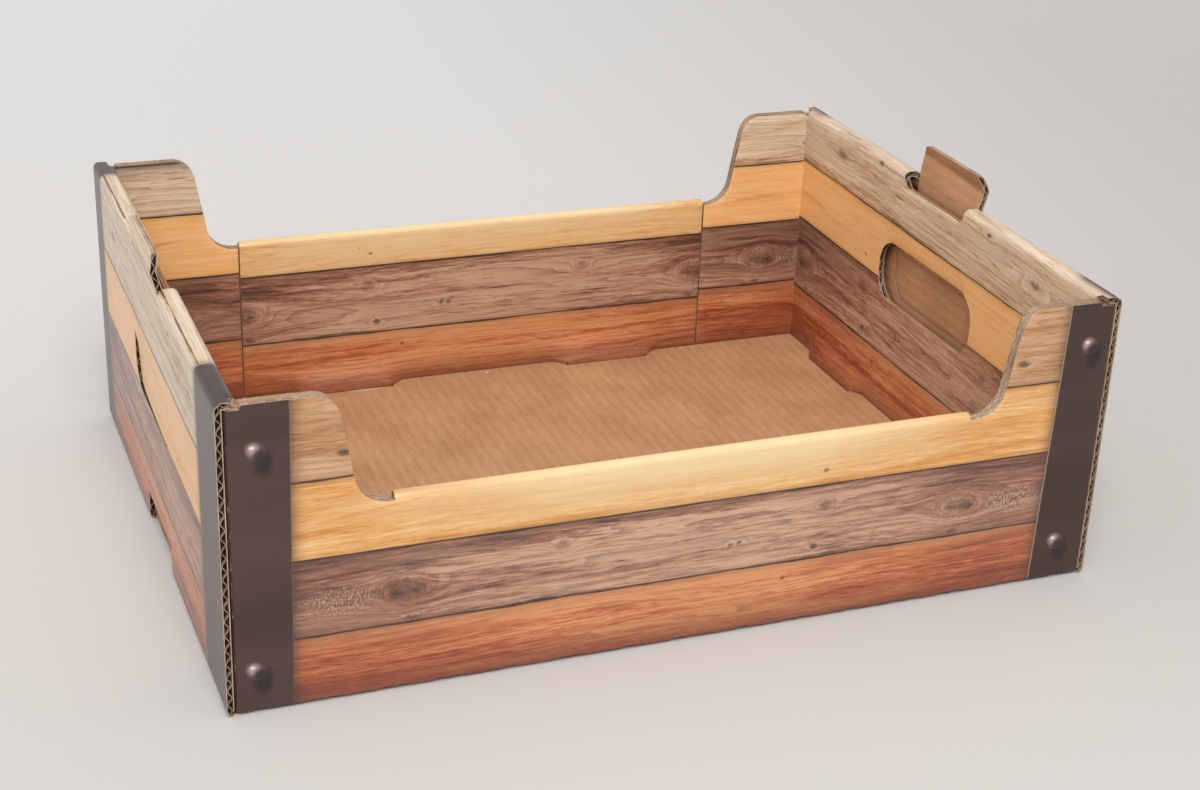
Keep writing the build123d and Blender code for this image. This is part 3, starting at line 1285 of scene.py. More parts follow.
@dataclass
class StackingTab(Sheet):
    """A tab that carries an outer end panel up past the rolled top, with one crease."""

    sizes: CrateSizes
    side: float
    name: str
    number: int
    rise: float = 15.5
    crease_rise: float = 10.0
    crease_slant: float = 1.6
    front_radius: float = 8.0
    back_radius: float = 4.5
    lean: float = 2.2
    top_lean: float = 0.5
    lean_power: float = 1.4
    swing: float = 0.8
    # Painted shade on the kraft at the crease and over it, where the bent-back top gets less light, with
    # some worn print there too.
    crease_wear_and_shade: float = 0.65
    bent_back_wear_and_shade: float = 0.8

    def loops(self) -> list[Loop]:
        """Upright from the hidden joint, with a round front and a squarer back top corner.

        Returns:
            The outline alone.
        """
        size = self.sizes
        top, fold = size.end_height + self.rise, size.end_height - BOARD.fold
        corners = [
            Corner(size.tab_low, size.tab_joint, 0.0, False),
            Corner(size.tab_high, size.tab_joint, 0.0, False),
            Corner(size.tab_high, fold),
            Corner(size.tab_high, top, self.back_radius),
            Corner(size.tab_low, top, self.front_radius),
            Corner(size.tab_low, fold, 0.0, False),
        ]
        return [Loop(corners if self.side > 0 else mirrored(corners))]

    def openness(self, places: Array) -> Array:
        """Its ends are raw, and its top edge is crushed."""
        return np.where(places[:, 1] > self.sizes.end_height + self.rise - 0.5, self.crushed, 1.0)

    def grid(self) -> tuple[Array, Array]:
        """Rows close round the crease.

        Returns:
            Places along and up the sheet.
        """
        crease = self.sizes.end_height + self.crease_rise
        rows = spread((self.sizes.tab_joint + 4, crease - 2, 7), (crease - 1, crease + 4, 6))
        return np.linspace(-30, 30, 13), rows

    def _over_crease(self, along: Array, up: Array) -> Array:
        """The height over the crease, which rises towards the back."""
        slant = self.crease_slant * self.side * along / self.sizes.tab_high
        return up - self.sizes.end_height - self.crease_rise - slant

    def folded(self, along: Array, up: Array, depth: Array) -> Array:
        """Upright up to the fold, leaning out by a power law up to the crease, then bent back.

        Args:
            along: Places along the sheet.
            up: Places up the sheet.
            depth: Depths under the print face.

        Returns:
            Places in the crate.
        """
        size = self.sizes
        foot = size.end_height - BOARD.fold
        past = self._over_crease(along, up)
        low = self.lean * np.clip((up - foot) / (up - past - foot), 0, 1) ** self.lean_power
        high = (self.lean - self.top_lean) * np.clip(past / (self.rise - self.crease_rise), 0, 1.2)
        front = 0.5 - self.side * along / (size.tab_high - size.tab_low)
        swing = self.swing * front * np.clip((up - foot) / self.rise, 0, 1)
        out = size.length / 2 - depth + low - high + swing
        return np.column_stack([self.side * out, self.side * along, up])

    def ridge(self, along: Array, up: Array) -> Array:
        """The crease across the tab, and the bent-back board over it, where the print is worn and painted
        shade darkens the kraft.
        """
        past = self._over_crease(along, up)
        return np.where(past > 0, self.bent_back_wear_and_shade, np.maximum(-past, self.crease_wear_and_shade))


@dataclass
class HandFlap(Sheet):
    """The push-in flap of a hand hole, which hangs on its crease."""

    sizes: CrateSizes
    side: float
    name: str
    number: int
    pushed: float = 0.0
    half: float = 42.0
    bottom: float = 66.0
    top: float = 91.0
    radius: float = 13.0

    def loops(self) -> list[Loop]:
        """A rectangle with two round lower corners, joined along its top."""
        sides, rows = (-self.half, self.half), (self.bottom, self.top)
        return [Loop(rectangle(sides, rows, (self.radius, 0.0), creased=True))]

    def grid(self) -> tuple[Array, Array]:
        """Crossings 6 mm apart."""
        return np.linspace(-36, 36, 13), np.linspace(self.bottom + 4, self.top - 4, 4)

    def folded(self, along: Array, up: Array, depth: Array) -> Array:
        """Upright in the outer end panel, or pushed in a little along its back edge.

        Args:
            along: Places along the sheet.
            up: Places up the sheet.
            depth: Depths under the print face.

        Returns:
            Places in the crate.
        """
        back = np.clip(0.5 + 0.5 * self.side * along / self.half, 0, 1)
        under = (self.top - up) / (self.top - self.bottom)
        bowed = 1 - (1 - under) ** 4
        out = self.sizes.length / 2 - depth - self.pushed * bowed * back * back
        return np.column_stack([self.side * out, self.side * along, up])


def linear(hex_code: str) -> tuple[float, float, float, float]:
    """The linear colour of an sRGB hex value.

    Args:
        hex_code: Six hex digits.

    Returns:
        Red, green, blue and an alpha of one.
    """
    parts = np.array([int(hex_code[k : k + 2], 16) for k in (0, 2, 4)]) / 255
    value = np.where(parts <= 0.04045, parts / 12.92, ((parts + 0.055) / 1.055) ** 2.4)
    return (*value.tolist(), 1.0)


class Tree:
    """The nodes of one material."""

    def __init__(self, name: str) -> None:
        """Starts a material with its surface shader.

        Args:
            name: The material's name.
        """
        self.material = bpy.data.materials.new(name)
        self.material.use_nodes = True
        self.nodes = self.material.node_tree.nodes
        self.links = self.material.node_tree.links

    def add(self, kind: str, *inputs: Source | dict, stops: tuple = (), **settings) -> bpy.types.Node:
        """Adds a node. A range map takes a value, its low and high, and what those two turn into.

        Args:
            kind: Its type without the ShaderNode prefix.
            inputs: What each input gets, in order, or one dict of inputs by name or number.
            stops: Position and hex colour of each stop of a row of colours.
            settings: Its properties.

        Returns:
            The node.
        """
        node = self.nodes.new("ShaderNode" + kind)
        for key, value in settings.items():
            setattr(node, key, value)
        for number, (position, colour) in enumerate(stops):
            elements = node.color_ramp.elements
            element = elements[number] if number < len(elements) else elements.new(1.0)
            element.position = position
            element.color = linear(colour)
        named = inputs[0] if inputs and isinstance(inputs[0], dict) else dict(enumerate(inputs))
        for key, value in named.items():
            self.feed(node, key, value)
        return node

    def feed(self, node: bpy.types.Node, key: str | int, value: Source) -> None:
        """Links a source to an input, or sets the input's value.

        Args:
            node: The node.
            key: The input's name or number.
            value: A number, tuple or hex colour, a socket, or a node, which gives its first open output.
        """
        if isinstance(value, bpy.types.Node):
            value = next(out for out in value.outputs if out.enabled)
        if isinstance(value, bpy.types.NodeSocket):
            self.links.new(value, node.inputs[key])
        else:
            node.inputs[key].default_value = linear(value) if isinstance(value, str) else value

    def weigh(self, *parts: tuple[Source, Source], start: Source = 0.0) -> Source:
        """Adds up sources, each times its weight, over a start.

        Args:
            parts: Pairs of a source and its weight.
            start: What they are added to.

        Returns:
            The sum.
        """
        for source, weight in parts:
            start = self.add("Math", source, weight, start, operation="MULTIPLY_ADD")
        return start

    def far(self, place: Source, centre: tuple, scale: tuple) -> Source:
        """How far a place is from a centre, after each direction is scaled.

        Args:
            place: The place.
            centre: The centre.
            scale: A scale for each of the three directions.

        Returns:
            The distance.
        """
        moved = self.add("VectorMath", place, centre, operation="SUBTRACT")
        shaped = self.add("VectorMath", moved, scale, operation="MULTIPLY")
        return self.add("VectorMath", shaped, operation="LENGTH").outputs["Value"]

    def read(self, name: str) -> list[Source]:
        """The two millimetre values of one of a sheet's maps."""
        return self.add("SeparateXYZ", self.add("UVMap", uv_map=name)).outputs[:2]

    def washboard(self) -> Source:
        """A sine of the distance across the flutes, one turn for each.

        Returns:
            The sine.
        """
        around = 2 * math.pi / BOARD.flute_pitch
        turn = self.add("Math", self.read("flutes")[0], around, operation="MULTIPLY")
        return self.add("Math", turn, operation="SINE")

    def finish(self, **inputs: Source) -> bpy.types.Material:
        """Feeds the surface shader, whose inputs are named with underscores for spaces.

        Args:
            inputs: What each input gets.

        Returns:
            The finished material.
        """
        for name, value in inputs.items():
            self.feed(self.nodes["Principled BSDF"], name.replace("_", " "), value)
        return self.material


class Knot(NamedTuple):
    """A knot of the printed wood: place on the artwork, radius, length over height, swerve and eye."""

    along: float
    up: float
    radius: float
    stretch: float
    swerve: float
    eye: float
    both_ends: bool = True


class Stroke(NamedTuple):
    """A long crack or dark growth line of the print, with half its width and its colour."""

    start: tuple[float, float]
    end: tuple[float, float]
    half: float
    tint: str
    share: float
    both_ends: bool = False


class Plank(NamedTuple):
    """One printed board: its lower edge, its tones, and the stain, rings and cracks over them."""

    low: float
    tones: tuple[tuple[float, str], ...]
    stain: tuple[str, float]
    ring: tuple[str, float]
    crack: tuple[str, float]


class PlankPrint:
    """Offset print of old planks on a white-faced liner, sealed with a thin varnish.

    The eye sees four planks with long grain, knots and cracks, dark gaps between them, dark straps
    with round nail heads, and a soft sheen where the light grazes it. The artwork's places are
    millimetres along the planks, and over the bottom of the lowest one.
    """

    mirror_line = 1.5
    strap_corner = 5.0
    top_fold = 138.0
    left_nail = -187.4
    nails_apart = 370.0
    nail_height = 19.6
    nail_rise = 96.8
    nail_split = 68.0
    planks = (
        Plank(
            -9.0,
            ((0.12, "692c20"), (0.36, "974a30"), (0.56, "b4643f"), (0.84, "cc8c5e")),
            ("bd7944", 0.36),
            ("703023", 0.52),
            ("53251b", 0.45),
        ),
        Plank(
            31.5,
            ((0.12, "4f352c"), (0.36, "7a5141"), (0.58, "9a6d58"), (0.84, "be997f")),
            ("af886e", 0.50),
            ("4c362f", 0.55),
            ("382824", 0.80),
        ),
        Plank(
            66.5,
            ((0.12, "bc7a39"), (0.38, "cc9150"), (0.58, "d4a263"), (0.84, "dcb888")),
            ("d8b584", 0.42),
            ("bc7a38", 0.42),
            ("9b5f2e", 0.22),
        ),
        Plank(
            101.0,
            ((0.12, "714d33"), (0.38, "a7825e"), (0.58, "bfa080"), (0.84, "d4c0a6")),
            ("caaf93", 0.50),
            ("765437", 0.50),
            ("4f3728", 0.75),
        ),
    )
    knots = (
        Knot(127.5, 46.5, 5.4, 1.9, 0.9, 0.35),
        Knot(131.0, 45.6, 2.3, 2.2, 0.2, 0.75),
        Knot(123.6, 45.8, 1.3, 2.8, 0.2, 0.70),
        Knot(60.5, 56.3, 2.8, 1.5, 0.5, 0.35),
        Knot(17.9, 44.0, 1.1, 1.6, 0.15, 0.8, False),
        Knot(21.8, 44.3, 1.3, 1.5, 0.15, 0.8, False),
        Knot(57.8, 37.0, 1.6, 1.6, 0.3, 0.85, False),
        Knot(61.0, 73.3, 1.0, 1.6, 0.4, 0.8, False),
        Knot(67.0, 76.5, 0.6, 1.2, 0.3, 0.6, False),
        Knot(43.7, 23.5, 0.9, 1.6, 0.4, 0.8, False),
        Knot(125.0, 33.6, 1.2, 3.0, 0.1, 0.7),
        Knot(52.0, 127.5, 1.4, 1.9, 0.5, 1.0),
        Knot(95.0, 118.5, 2.6, 2.4, 0.8, 0.55),
        Knot(152.0, 111.5, 1.8, 2.2, 0.6, 0.8),
    )
    strokes = (
        Stroke((100.0, 58.6), (140.0, 58.3), 1.1, "3e2f29", 0.85, True),
        Stroke((112.0, 56.6), (156.0, 53.2), 0.5, "4f3a33", 0.70, True),
        Stroke((137.0, 63.4), (171.0, 61.6), 0.7, "503b35", 0.65, True),
        Stroke((141.0, 45.0), (166.0, 40.5), 0.5, "503b35", 0.55, True),
        Stroke((-24.0, 47.0), (43.0, 53.6), 0.45, "43322d", 0.80),
        Stroke((-78.0, 41.0), (-18.0, 38.8), 0.45, "4f3a34", 0.60),
        Stroke((60.0, 41.0), (112.0, 48.0), 0.5, "513d36", 0.50),
        Stroke((-86.0, 32.2), (-46.0, 31.9), 0.8, "281f1e", 0.95),
        Stroke((50.0, 32.3), (118.0, 31.8), 0.75, "281f1e", 0.95),
        Stroke((-168.0, 17.5), (-62.0, 19.6), 0.9, "7a3526", 0.60),
        Stroke((30.0, 16.0), (166.0, 20.0), 0.8, "7a3526", 0.60),
        Stroke((-150.0, 8.0), (-40.0, 9.0), 1.0, "6b3023", 0.55),
        Stroke((-176.0, 79.5), (-112.0, 88.5), 1.1, "c48346", 0.75),
        Stroke((90.0, 80.0), (176.0, 84.0), 1.3, "c4884d", 0.60),
        Stroke((-170.0, 122.5), (-128.0, 125.0), 0.9, "8e6c4f", 0.70),
        Stroke((40.0, 119.0), (78.0, 112.0), 0.7, "6e513e", 0.75, True),
        Stroke((-20.0, 108.0), (36.0, 110.5), 0.6, "7a5d46", 0.65),
    )

    def __init__(self) -> None:
        """Reads from the artwork map which sheet it is, how far along the planks, and how high."""
        self.tree = Tree("printed_liner")
        self.noise: dict[str, Source] = {}
        add = self.tree.add
        far, self.up = self.tree.read("artwork")
        shifted = add("Math", far, SHEET_PITCH / 2, operation="ADD")
        scaled = add("Math", shifted, SHEET_PITCH, operation="DIVIDE")
        self.panel = add("Math", scaled, operation="FLOOR")
        self.across = self.tree.weigh((self.panel, -SHEET_PITCH), start=far)
        centred = add("Math", self.across, self.mirror_line, operation="SUBTRACT")
        self.either = add("Math", centred, operation="ABSOLUTE")
        self.long_wall = add("Math", self.panel, 1.5, operation="LESS_THAN")
        self.grey = add("Math", self.up, self.planks[2].low, operation="LESS_THAN")

    def build(self) -> bpy.types.Material:
        """Draws the planks, then one layer after another: a share, and the ink that it lays over.

        Returns:
            The material.
        """
        self._round_knots()
        self._grain()
        colour = self._planks()
        stages = (self._washes, self._strokes, self._weathering, self._gaps, self._strap_steel)
        for stage in (*stages, self._nail_heads, self._wear):
            for share, ink in stage():
                colour = self.tree.add("Mix", {0: share, 6: colour, 7: ink}, data_type="RGBA")
        height = self.tree.weigh((self.tree.washboard(), 0.018), (self.noise["fibre"], 0.02))
        bump = self.tree.add("Bump", {"Strength": 1.0, "Distance": METRE, "Height": height})
        varnish = {"Roughness": 0.34, "IOR": 1.47, "Coat_Weight": 0.2, "Coat_Roughness": 0.24}
        return self.tree.finish(Base_Color=colour, Normal=bump, **varnish)

    def _draw_out(self, place: Source, sizes: dict[str, tuple]) -> None:
        """Makes noises that are drawn out along the grain.

        Args:
            place: Where they are read.
            sizes: By name, one over the length along the grain, one over the width across it and a
                shift for each sheet, then the detail and the roughness.
        """
        for name, (scale, detail, rough) in sizes.items():
            shrunk = self.tree.add("VectorMath", place, scale, operation="MULTIPLY")
            inputs = {"Vector": shrunk, "Scale": 1.0, "Detail": detail, "Roughness": rough}
            self.noise[name] = self.tree.add("TexNoise", inputs)

    def _round_knots(self) -> None:
        """The grain's swerve and swell round each knot, the knots' cores, and their dark eyes.

        The swerve is the height over the knot times the square of radius over distance, as in a
        stream that parts round a stone. The same square swells the growth rings, which closes them
        round the knot. Noise shakes each outline, so that no knot is a plain oval.
        """
        add = self.tree.add
        sizes = {
            "ragged": ((1 / 3.5, 1 / 1.8, 6.6), 3.0, 0.6),
            "sway": ((1 / 150.0, 1 / 30.0, 3.7), 2.0, 0.5),
            "gap": ((1 / 34.0, 0.0, 8.3), 4.0, 0.5),
            "chips": ((1 / 5.0, 1 / 5.0, 3.0), 5.0, 0.7),
        }
        self._draw_out(add("CombineXYZ", self.across, self.up, self.panel), sizes)
        self.swerve, self.swell, self.core, self.eye = 0.0, 0.0, 0.0, 0.0
        shaken = self.tree.weigh((self.noise["ragged"], 4.6), start=self.up)
        places = [add("CombineXYZ", source, shaken) for source in (self.across, self.either)]
        for knot in self.knots:
            centre = (knot.along, knot.up + 2.3, 0.0)
            far = self.tree.far(places[knot.both_ends], centre, (1 / knot.stretch, 1.0, 1.0))
            over = add("Math", self.up, knot.up, operation="SUBTRACT")
            bound = add("Math", far, knot.radius, operation="MAXIMUM")
            share = add("Math", knot.radius, bound, operation="DIVIDE")
            square = add("Math", share, share, operation="MULTIPLY")
            weighed = add("Math", square, knot.swerve, operation="MULTIPLY")
            self.swerve = self.tree.weigh((weighed, over), start=self.swerve)
            self.swell = add("Math", weighed, self.swell, operation="ADD")
            core, eye = (1.3 * knot.radius, 0.0), (1.15 * knot.radius, 0.35 * knot.radius)
            near = add("MapRange", far, *core, 0.0, knot.swerve, interpolation_type="SMOOTHSTEP")
            dark = add("MapRange", far, *eye, 0.0, knot.eye, interpolation_type="SMOOTHSTEP")
            self.core = add("Math", near, self.core, operation="MAXIMUM")
            self.eye = add("Math", dark, self.eye, operation="MAXIMUM")

    def _grain(self) -> None:
        """Noise drawn out along the planks, and growth rings.

        A ring is the fourth power of the sawtooth of height over pitch plus slow noise, so it has
        one sharp side. The grey planks and the end walls have a tone of their own, and the back wall
        is made lighter as painted light on its inner face.
        """
        add, weigh, noise = self.tree.add, self.tree.weigh, self.noise
        straight = add("Math", self.up, self.swerve, operation="SUBTRACT")
        level = weigh((noise["sway"], 5.0), start=straight)
        sizes = {
            "fibre": ((1 / 9.0, 1 / 0.8, 5.1), 4.0, 0.75),
            "streak": ((1 / 48.0, 1 / 2.2, 7.9), 5.0, 0.66),
            "band": ((1 / 170.0, 1 / 8.0, 2.3), 3.0, 0.55),
            "stain": ((1 / 95.0, 1 / 11.0, 6.1), 4.0, 0.60),
            "year": ((1 / 120.0, 1 / 9.0, 1.9), 1.5, 0.45),
            "crack": ((1 / 26.0, 1 / 0.9, 9.7), 2.0, 0.50),
            "speck": ((1 / 0.7, 1 / 1.5, 4.4), 1.0, 0.50),
        }
        self._draw_out(add("CombineXYZ", self.across, level, self.panel), sizes)
        tone = weigh((noise["streak"], 0.46), (noise["fibre"], 0.42), (noise["band"], 0.40))
        upper = add("MapRange", self.up, 55.0, 64.0, 0.0, -0.06)
        pale = add("MapRange", self.either, 150.0, 40.0, 0.0, 0.10)
        ends = add("Math", self.panel, 1.5, operation="GREATER_THAN")
        on_ends = add("MapRange", self.grey, 0.0, 1.0, 0.085, -0.035)
        # Painted light: the back wall's print is lighter, for the light on its inner face.
        back = add("Math", self.panel, 1.0, operation="COMPARE")
        back_painted_light = add("MapRange", self.grey, 0.0, 1.0, 0.085, 0.015)
        tone = weigh((upper, self.grey), (pale, self.grey), (on_ends, ends), (back_painted_light, back), start=tone)
        self.tone = add("MapRange", tone, 0.505, 0.805)
        age = weigh((level, 1 / 5.5), (noise["year"], 7.0), (self.swell, 3.2), (self.core, 1.6))
        age = weigh((noise["streak"], 0.5), start=age)
        saw = add("Math", age, operation="FRACT")
        ring = add("Math", saw, 4.0, operation="POWER")
        shown = add("MapRange", noise["band"], 0.36, 0.56)
        shown = add("Math", shown, self.swell, operation="MAXIMUM")
        self.ring = add("Math", ring, shown, operation="MULTIPLY")

    def _planks(self) -> Source:
        """Each plank's tones under its stain, rings and cracks, chosen by height.

        The lowest plank is maroon at its foot, darkened there as painted shade near the ground, and
        orange-tan just under the first gap.

        Returns:
            The planks' colour.
        """
        add = self.tree.add
        stain = add("MapRange", self.noise["stain"], 0.44, 0.62)
        split = add("MapRange", self.noise["crack"], 0.63, 0.70)
        where = add("MapRange", self.noise["band"], 0.58, 0.44)
        split = add("Math", split, where, operation="MULTIPLY")
        height = self.tree.weigh((self.noise["band"], 9.0), start=self.up)
        # Painted shade: the lowest plank darkens towards the foot of each wall.
        foot = add("MapRange", height, 21.0, 6.0, 0.0, 0.85)
        head = add("MapRange", height, 27.0, 35.5, 0.0, 0.5)
        colour = "000000"
        for plank in self.planks:
            board = add("ValToRGB", self.tone, stops=plank.tones)
            marks = [(stain, *plank.stain), (self.ring, *plank.ring), (split, *plank.crack)]
            if plank is self.planks[0]:
                # The foot's painted shade, and the orange-tan head.
                marks += [(foot, "6d3528", 1.0), (head, "bd885f", 1.0)]
            for mask, tint, share in marks:
                amount = add("Math", mask, share, operation="MULTIPLY")
                board = add("Mix", {0: amount, 6: board, 7: tint}, data_type="RGBA")
            over = add("Math", self.up, plank.low, operation="GREATER_THAN")
            colour = add("Mix", {0: over, 6: colour, 7: board}, data_type="RGBA")
        return colour

    def _washes(self) -> Layers:
        """Rust towards the straps, cream and warm washes on the third plank, and brown ears.

        Yields:
            Shares and inks.
        """
        add = self.tree.add
        rust = add("MapRange", self.either, 70.0, 150.0, 0.0, 0.15)
        yield add("Math", rust, self.grey, operation="MULTIPLY"), "74402f"
        cream = add("MapRange", self.either, 150.0, 60.0, 0.0, 0.78)
        rise = add("MapRange", self.up, 68.0, 86.0)
        under = add("MapRange", self.up, 101.0, 97.0)
        whole = add("MapRange", self.long_wall, 0.0, 1.0, 0.25)
        for share in (rise, under, whole):
            cream = add("Math", cream, share, operation="MULTIPLY")
        yield cream, "ddc69b"
        below = add("Math", self.up, self.planks[3].low, operation="LESS_THAN")
        third = add("Math", below, self.grey, operation="SUBTRACT")
        warm = add("MapRange", self.long_wall, 0.0, 1.0, 0.4, 0.0)
        yield add("Math", warm, third, operation="MULTIPLY"), "f2b06c"
        ear = add("MapRange", self.up, 100.9, 101.1, 0.0, 0.45)
        yield add("Math", ear, self.long_wall, operation="MULTIPLY"), "ac703b"

    def _strokes(self) -> Layers:
        """Long cracks and growth lines: widest halfway, thin at the ends, wavering with the fibres.

        With t the share of the way, the half width is four times t times one minus t times its most.

        Yields:
            Shares and inks.
        """
        add, weigh = self.tree.add, self.tree.weigh
        lowered = add("Math", self.up, 1.8, operation="SUBTRACT")
        here = weigh((self.noise["streak"], 3.6), start=lowered)
        broken = add("MapRange", self.noise["fibre"], 0.62, 0.42, 0.35, 1.1)
        for stroke in self.strokes:
            source = self.either if stroke.both_ends else self.across
            (along, height), (far_along, far_height) = stroke.start, stroke.end
            gone = add("MapRange", source, along, far_along)
            line = weigh((gone, far_height - height), start=height)
            off = add("Math", here, line, operation="SUBTRACT")
            off = add("Math", off, operation="ABSOLUTE")
            left = add("Math", 1.0, gone, operation="SUBTRACT")
            swollen = add("Math", gone, left, operation="MULTIPLY")
            room = add("Math", swollen, 4 * stroke.half + 0.8, operation="MULTIPLY")
            room = add("Math", room, off, operation="SUBTRACT")
            dark = add("MapRange", room, 0.0, 0.9, 0.0, stroke.share)
            yield add("Math", dark, broken, operation="MULTIPLY"), stroke.tint

    def _weathering(self) -> Layers:
        """Ticks across the grain beside the great knots, and the knots' patches and dark eyes.

        Yields:
            Shares and inks.
        """
        add = self.tree.add
        place = add("CombineXYZ", self.either, self.up)
        far = self.tree.far(place, (155.0, 46.0, 0.0), (1 / 2.6, 1.0, 1.0))
        near = add("MapRange", far, 8.0, 3.0)
        for low, high, tint in ((0.52, 0.66, "bba18f"), (0.46, 0.34, "5d463f")):
            tick = add("MapRange", self.noise["speck"], low, high, 0.0, 0.7)
            yield add("Math", tick, near, operation="MULTIPLY"), tint
        yield add("Math", self.core, 0.28, operation="MULTIPLY"), "5d4234"
        soft = self.tree.weigh((self.noise["fibre"], 0.7), start=0.5)
        yield add("Math", self.eye, soft, operation="MULTIPLY"), "2c201a"

    def _gaps(self) -> Layers:
        """Thin dark lines between the planks, with soft shade beside, and the cracked top fold.

        Yields:
            Shares and inks.
        """
        add, change = self.tree.add, self.noise["gap"]
        lowered = add("Math", self.up, 0.7, operation="SUBTRACT")
        here = self.tree.weigh((change, 1.4), start=lowered)
        away = []
        for line in (*(plank.low for plank in self.planks[1:]), self.top_fold + 0.6):
            off = add("Math", here, line, operation="SUBTRACT")
            away.append(add("Math", off, operation="ABSOLUTE"))
        gap = add("Math", away[0], away[1], operation="MINIMUM")
        gap = add("Math", gap, away[2], operation="MINIMUM")
        yield add("MapRange", gap, 2.4, 0.0, 0.0, 0.34), "533d2f"
        thick = add("MapRange", change, 0.4, 0.7, 0.3, 0.72)
        room = add("Math", thick, gap, operation="SUBTRACT")
        yield add("MapRange", room, -0.12, 0.15, 0.0, 0.93), "312520"
        yield add("MapRange", self.up, self.top_fold, self.top_fold + 3, 0.0, 0.25), "bca27b"
        broken = add("MapRange", change, 0.40, 0.52, 0.1, 0.55)
        room = add("Math", broken, away[3], operation="SUBTRACT")
        yield add("MapRange", room, -0.1, 0.15, 0.0, 0.85), "403029"

    def _strap_steel(self) -> Layers:
        """Dark straps, the shade that they cast, and a thin painted highlight along the edge of the
        right-hand one.

        The depth inside a strap is its round corner's radius less the distance from that corner's
        centre, which turns into the plain distance from the edge away from the corner.

        Yields:
            Shares and inks.
        """
        add, corner = self.tree.add, self.strap_corner
        strap = add("UVMap", uv_map="strap")
        cut = add("VectorMath", (corner, corner, 0.0), strap, operation="SUBTRACT")
        cut = add("VectorMath", cut, (0.0, 0.0, 0.0), operation="MAXIMUM")
        reach = add("VectorMath", cut, operation="LENGTH").outputs["Value"]
        depth = add("Math", corner, reach, operation="SUBTRACT")
        shade = add("MapRange", depth, -9.0, 0.0)
        shade = add("Math", shade, 2.4, operation="POWER")
        yield add("Math", shade, 0.72, operation="MULTIPLY"), "3d2920"
        mask = add("MapRange", depth, -0.15, 0.2)
        mottle = self.tree.weigh((self.noise["fibre"], 0.25), start=self.noise["sway"])
        yield mask, add("ValToRGB", mottle, stops=((0.42, "372520"), (0.62, "402b26"), (0.82, "48332e")))
        right = add("MapRange", self.across, -1.0, 1.0, 0.12, 0.8)
        darker = add("Math", mask, right, operation="MULTIPLY")
        yield add("Math", darker, 0.5, operation="MULTIPLY"), "251614"
        # Painted highlight: a thin light line along the strap's edge, mostly on the right-hand strap.
        rim_in = add("MapRange", depth, -0.45, 0.0)
        rim_out = add("MapRange", depth, 0.45, 0.1)
        rim = add("Math", rim_in, rim_out, operation="MULTIPLY")
        yield add("Math", rim, right, operation="MULTIPLY"), "a28a76"

    def _nail_heads(self) -> Layers:
        """Two domed nail heads on each strap of a long wall, lit from the upper left as printed.

        Yields:
            Shares and inks.
        """
        add, weigh = self.tree.add, self.tree.weigh
        upper = add("Math", self.up, self.nail_split, operation="GREATER_THAN")
        right = add("Math", self.across, 0.0, operation="GREATER_THAN")
        apart = weigh((upper, 1.0), start=self.nails_apart)
        place = weigh((upper, 2.8), (right, apart), start=self.left_nail)
        height = weigh((upper, self.nail_rise), start=self.nail_height)
        aside = add("Math", self.across, place, operation="SUBTRACT")
        over = add("Math", self.up, height, operation="SUBTRACT")
        spot = add("CombineXYZ", aside, over)
        layers = (
            ((2.6, -4.6), (1.0, 0.62), 5.6, 1.8, "120b0a", 0.85),
            ((0.0, 0.0), (1.0, 1.0), 4.15, 3.95, "4a3733", 1.0),
            ((-1.2, 1.1), (0.90, 0.86), 3.5, 0.6, "a08880", 0.95),
            ((1.5, -1.7), (0.70, 0.70), 2.7, 1.0, "241a19", 0.90),
            ((-1.6, 1.9), (0.9, 1.2), 1.5, 0.2, "ecd6cb", 0.80),
        )
        for shift, stretch, edge, full, tint, strength in layers:
            far = self.tree.far(spot, (*shift, 0.0), (*stretch, 1.0))
            near = add("MapRange", far, edge, full, 0.0, strength, interpolation_type="SMOOTHSTEP")
            yield add("Math", near, self.long_wall, operation="MULTIPLY"), tint

    def _wear(self) -> Layers:
        """Chipped print along cut edges and folds.

        Yields:
            Shares and inks.
        """
        add, chips = self.tree.add, self.noise["chips"]
        edge, fold = self.tree.read("wear_and_shade")
        width = add("MapRange", chips, 0.50, 0.75, -0.2, 0.5)
        edge = add("Math", width, edge, operation="SUBTRACT")
        edge = add("MapRange", edge, 0.0, 0.3, 0.0, 0.65)
        width = add("MapRange", chips, 0.52, 0.78, 0.0, 0.9)
        ridge = add("Math", fold, operation="ABSOLUTE")
        fold = add("Math", width, ridge, operation="SUBTRACT")
        fold = add("MapRange", fold, -0.1, 0.5, 0.0, 0.5)
        yield add("Math", edge, fold, operation="MAXIMUM"), "b49f88"


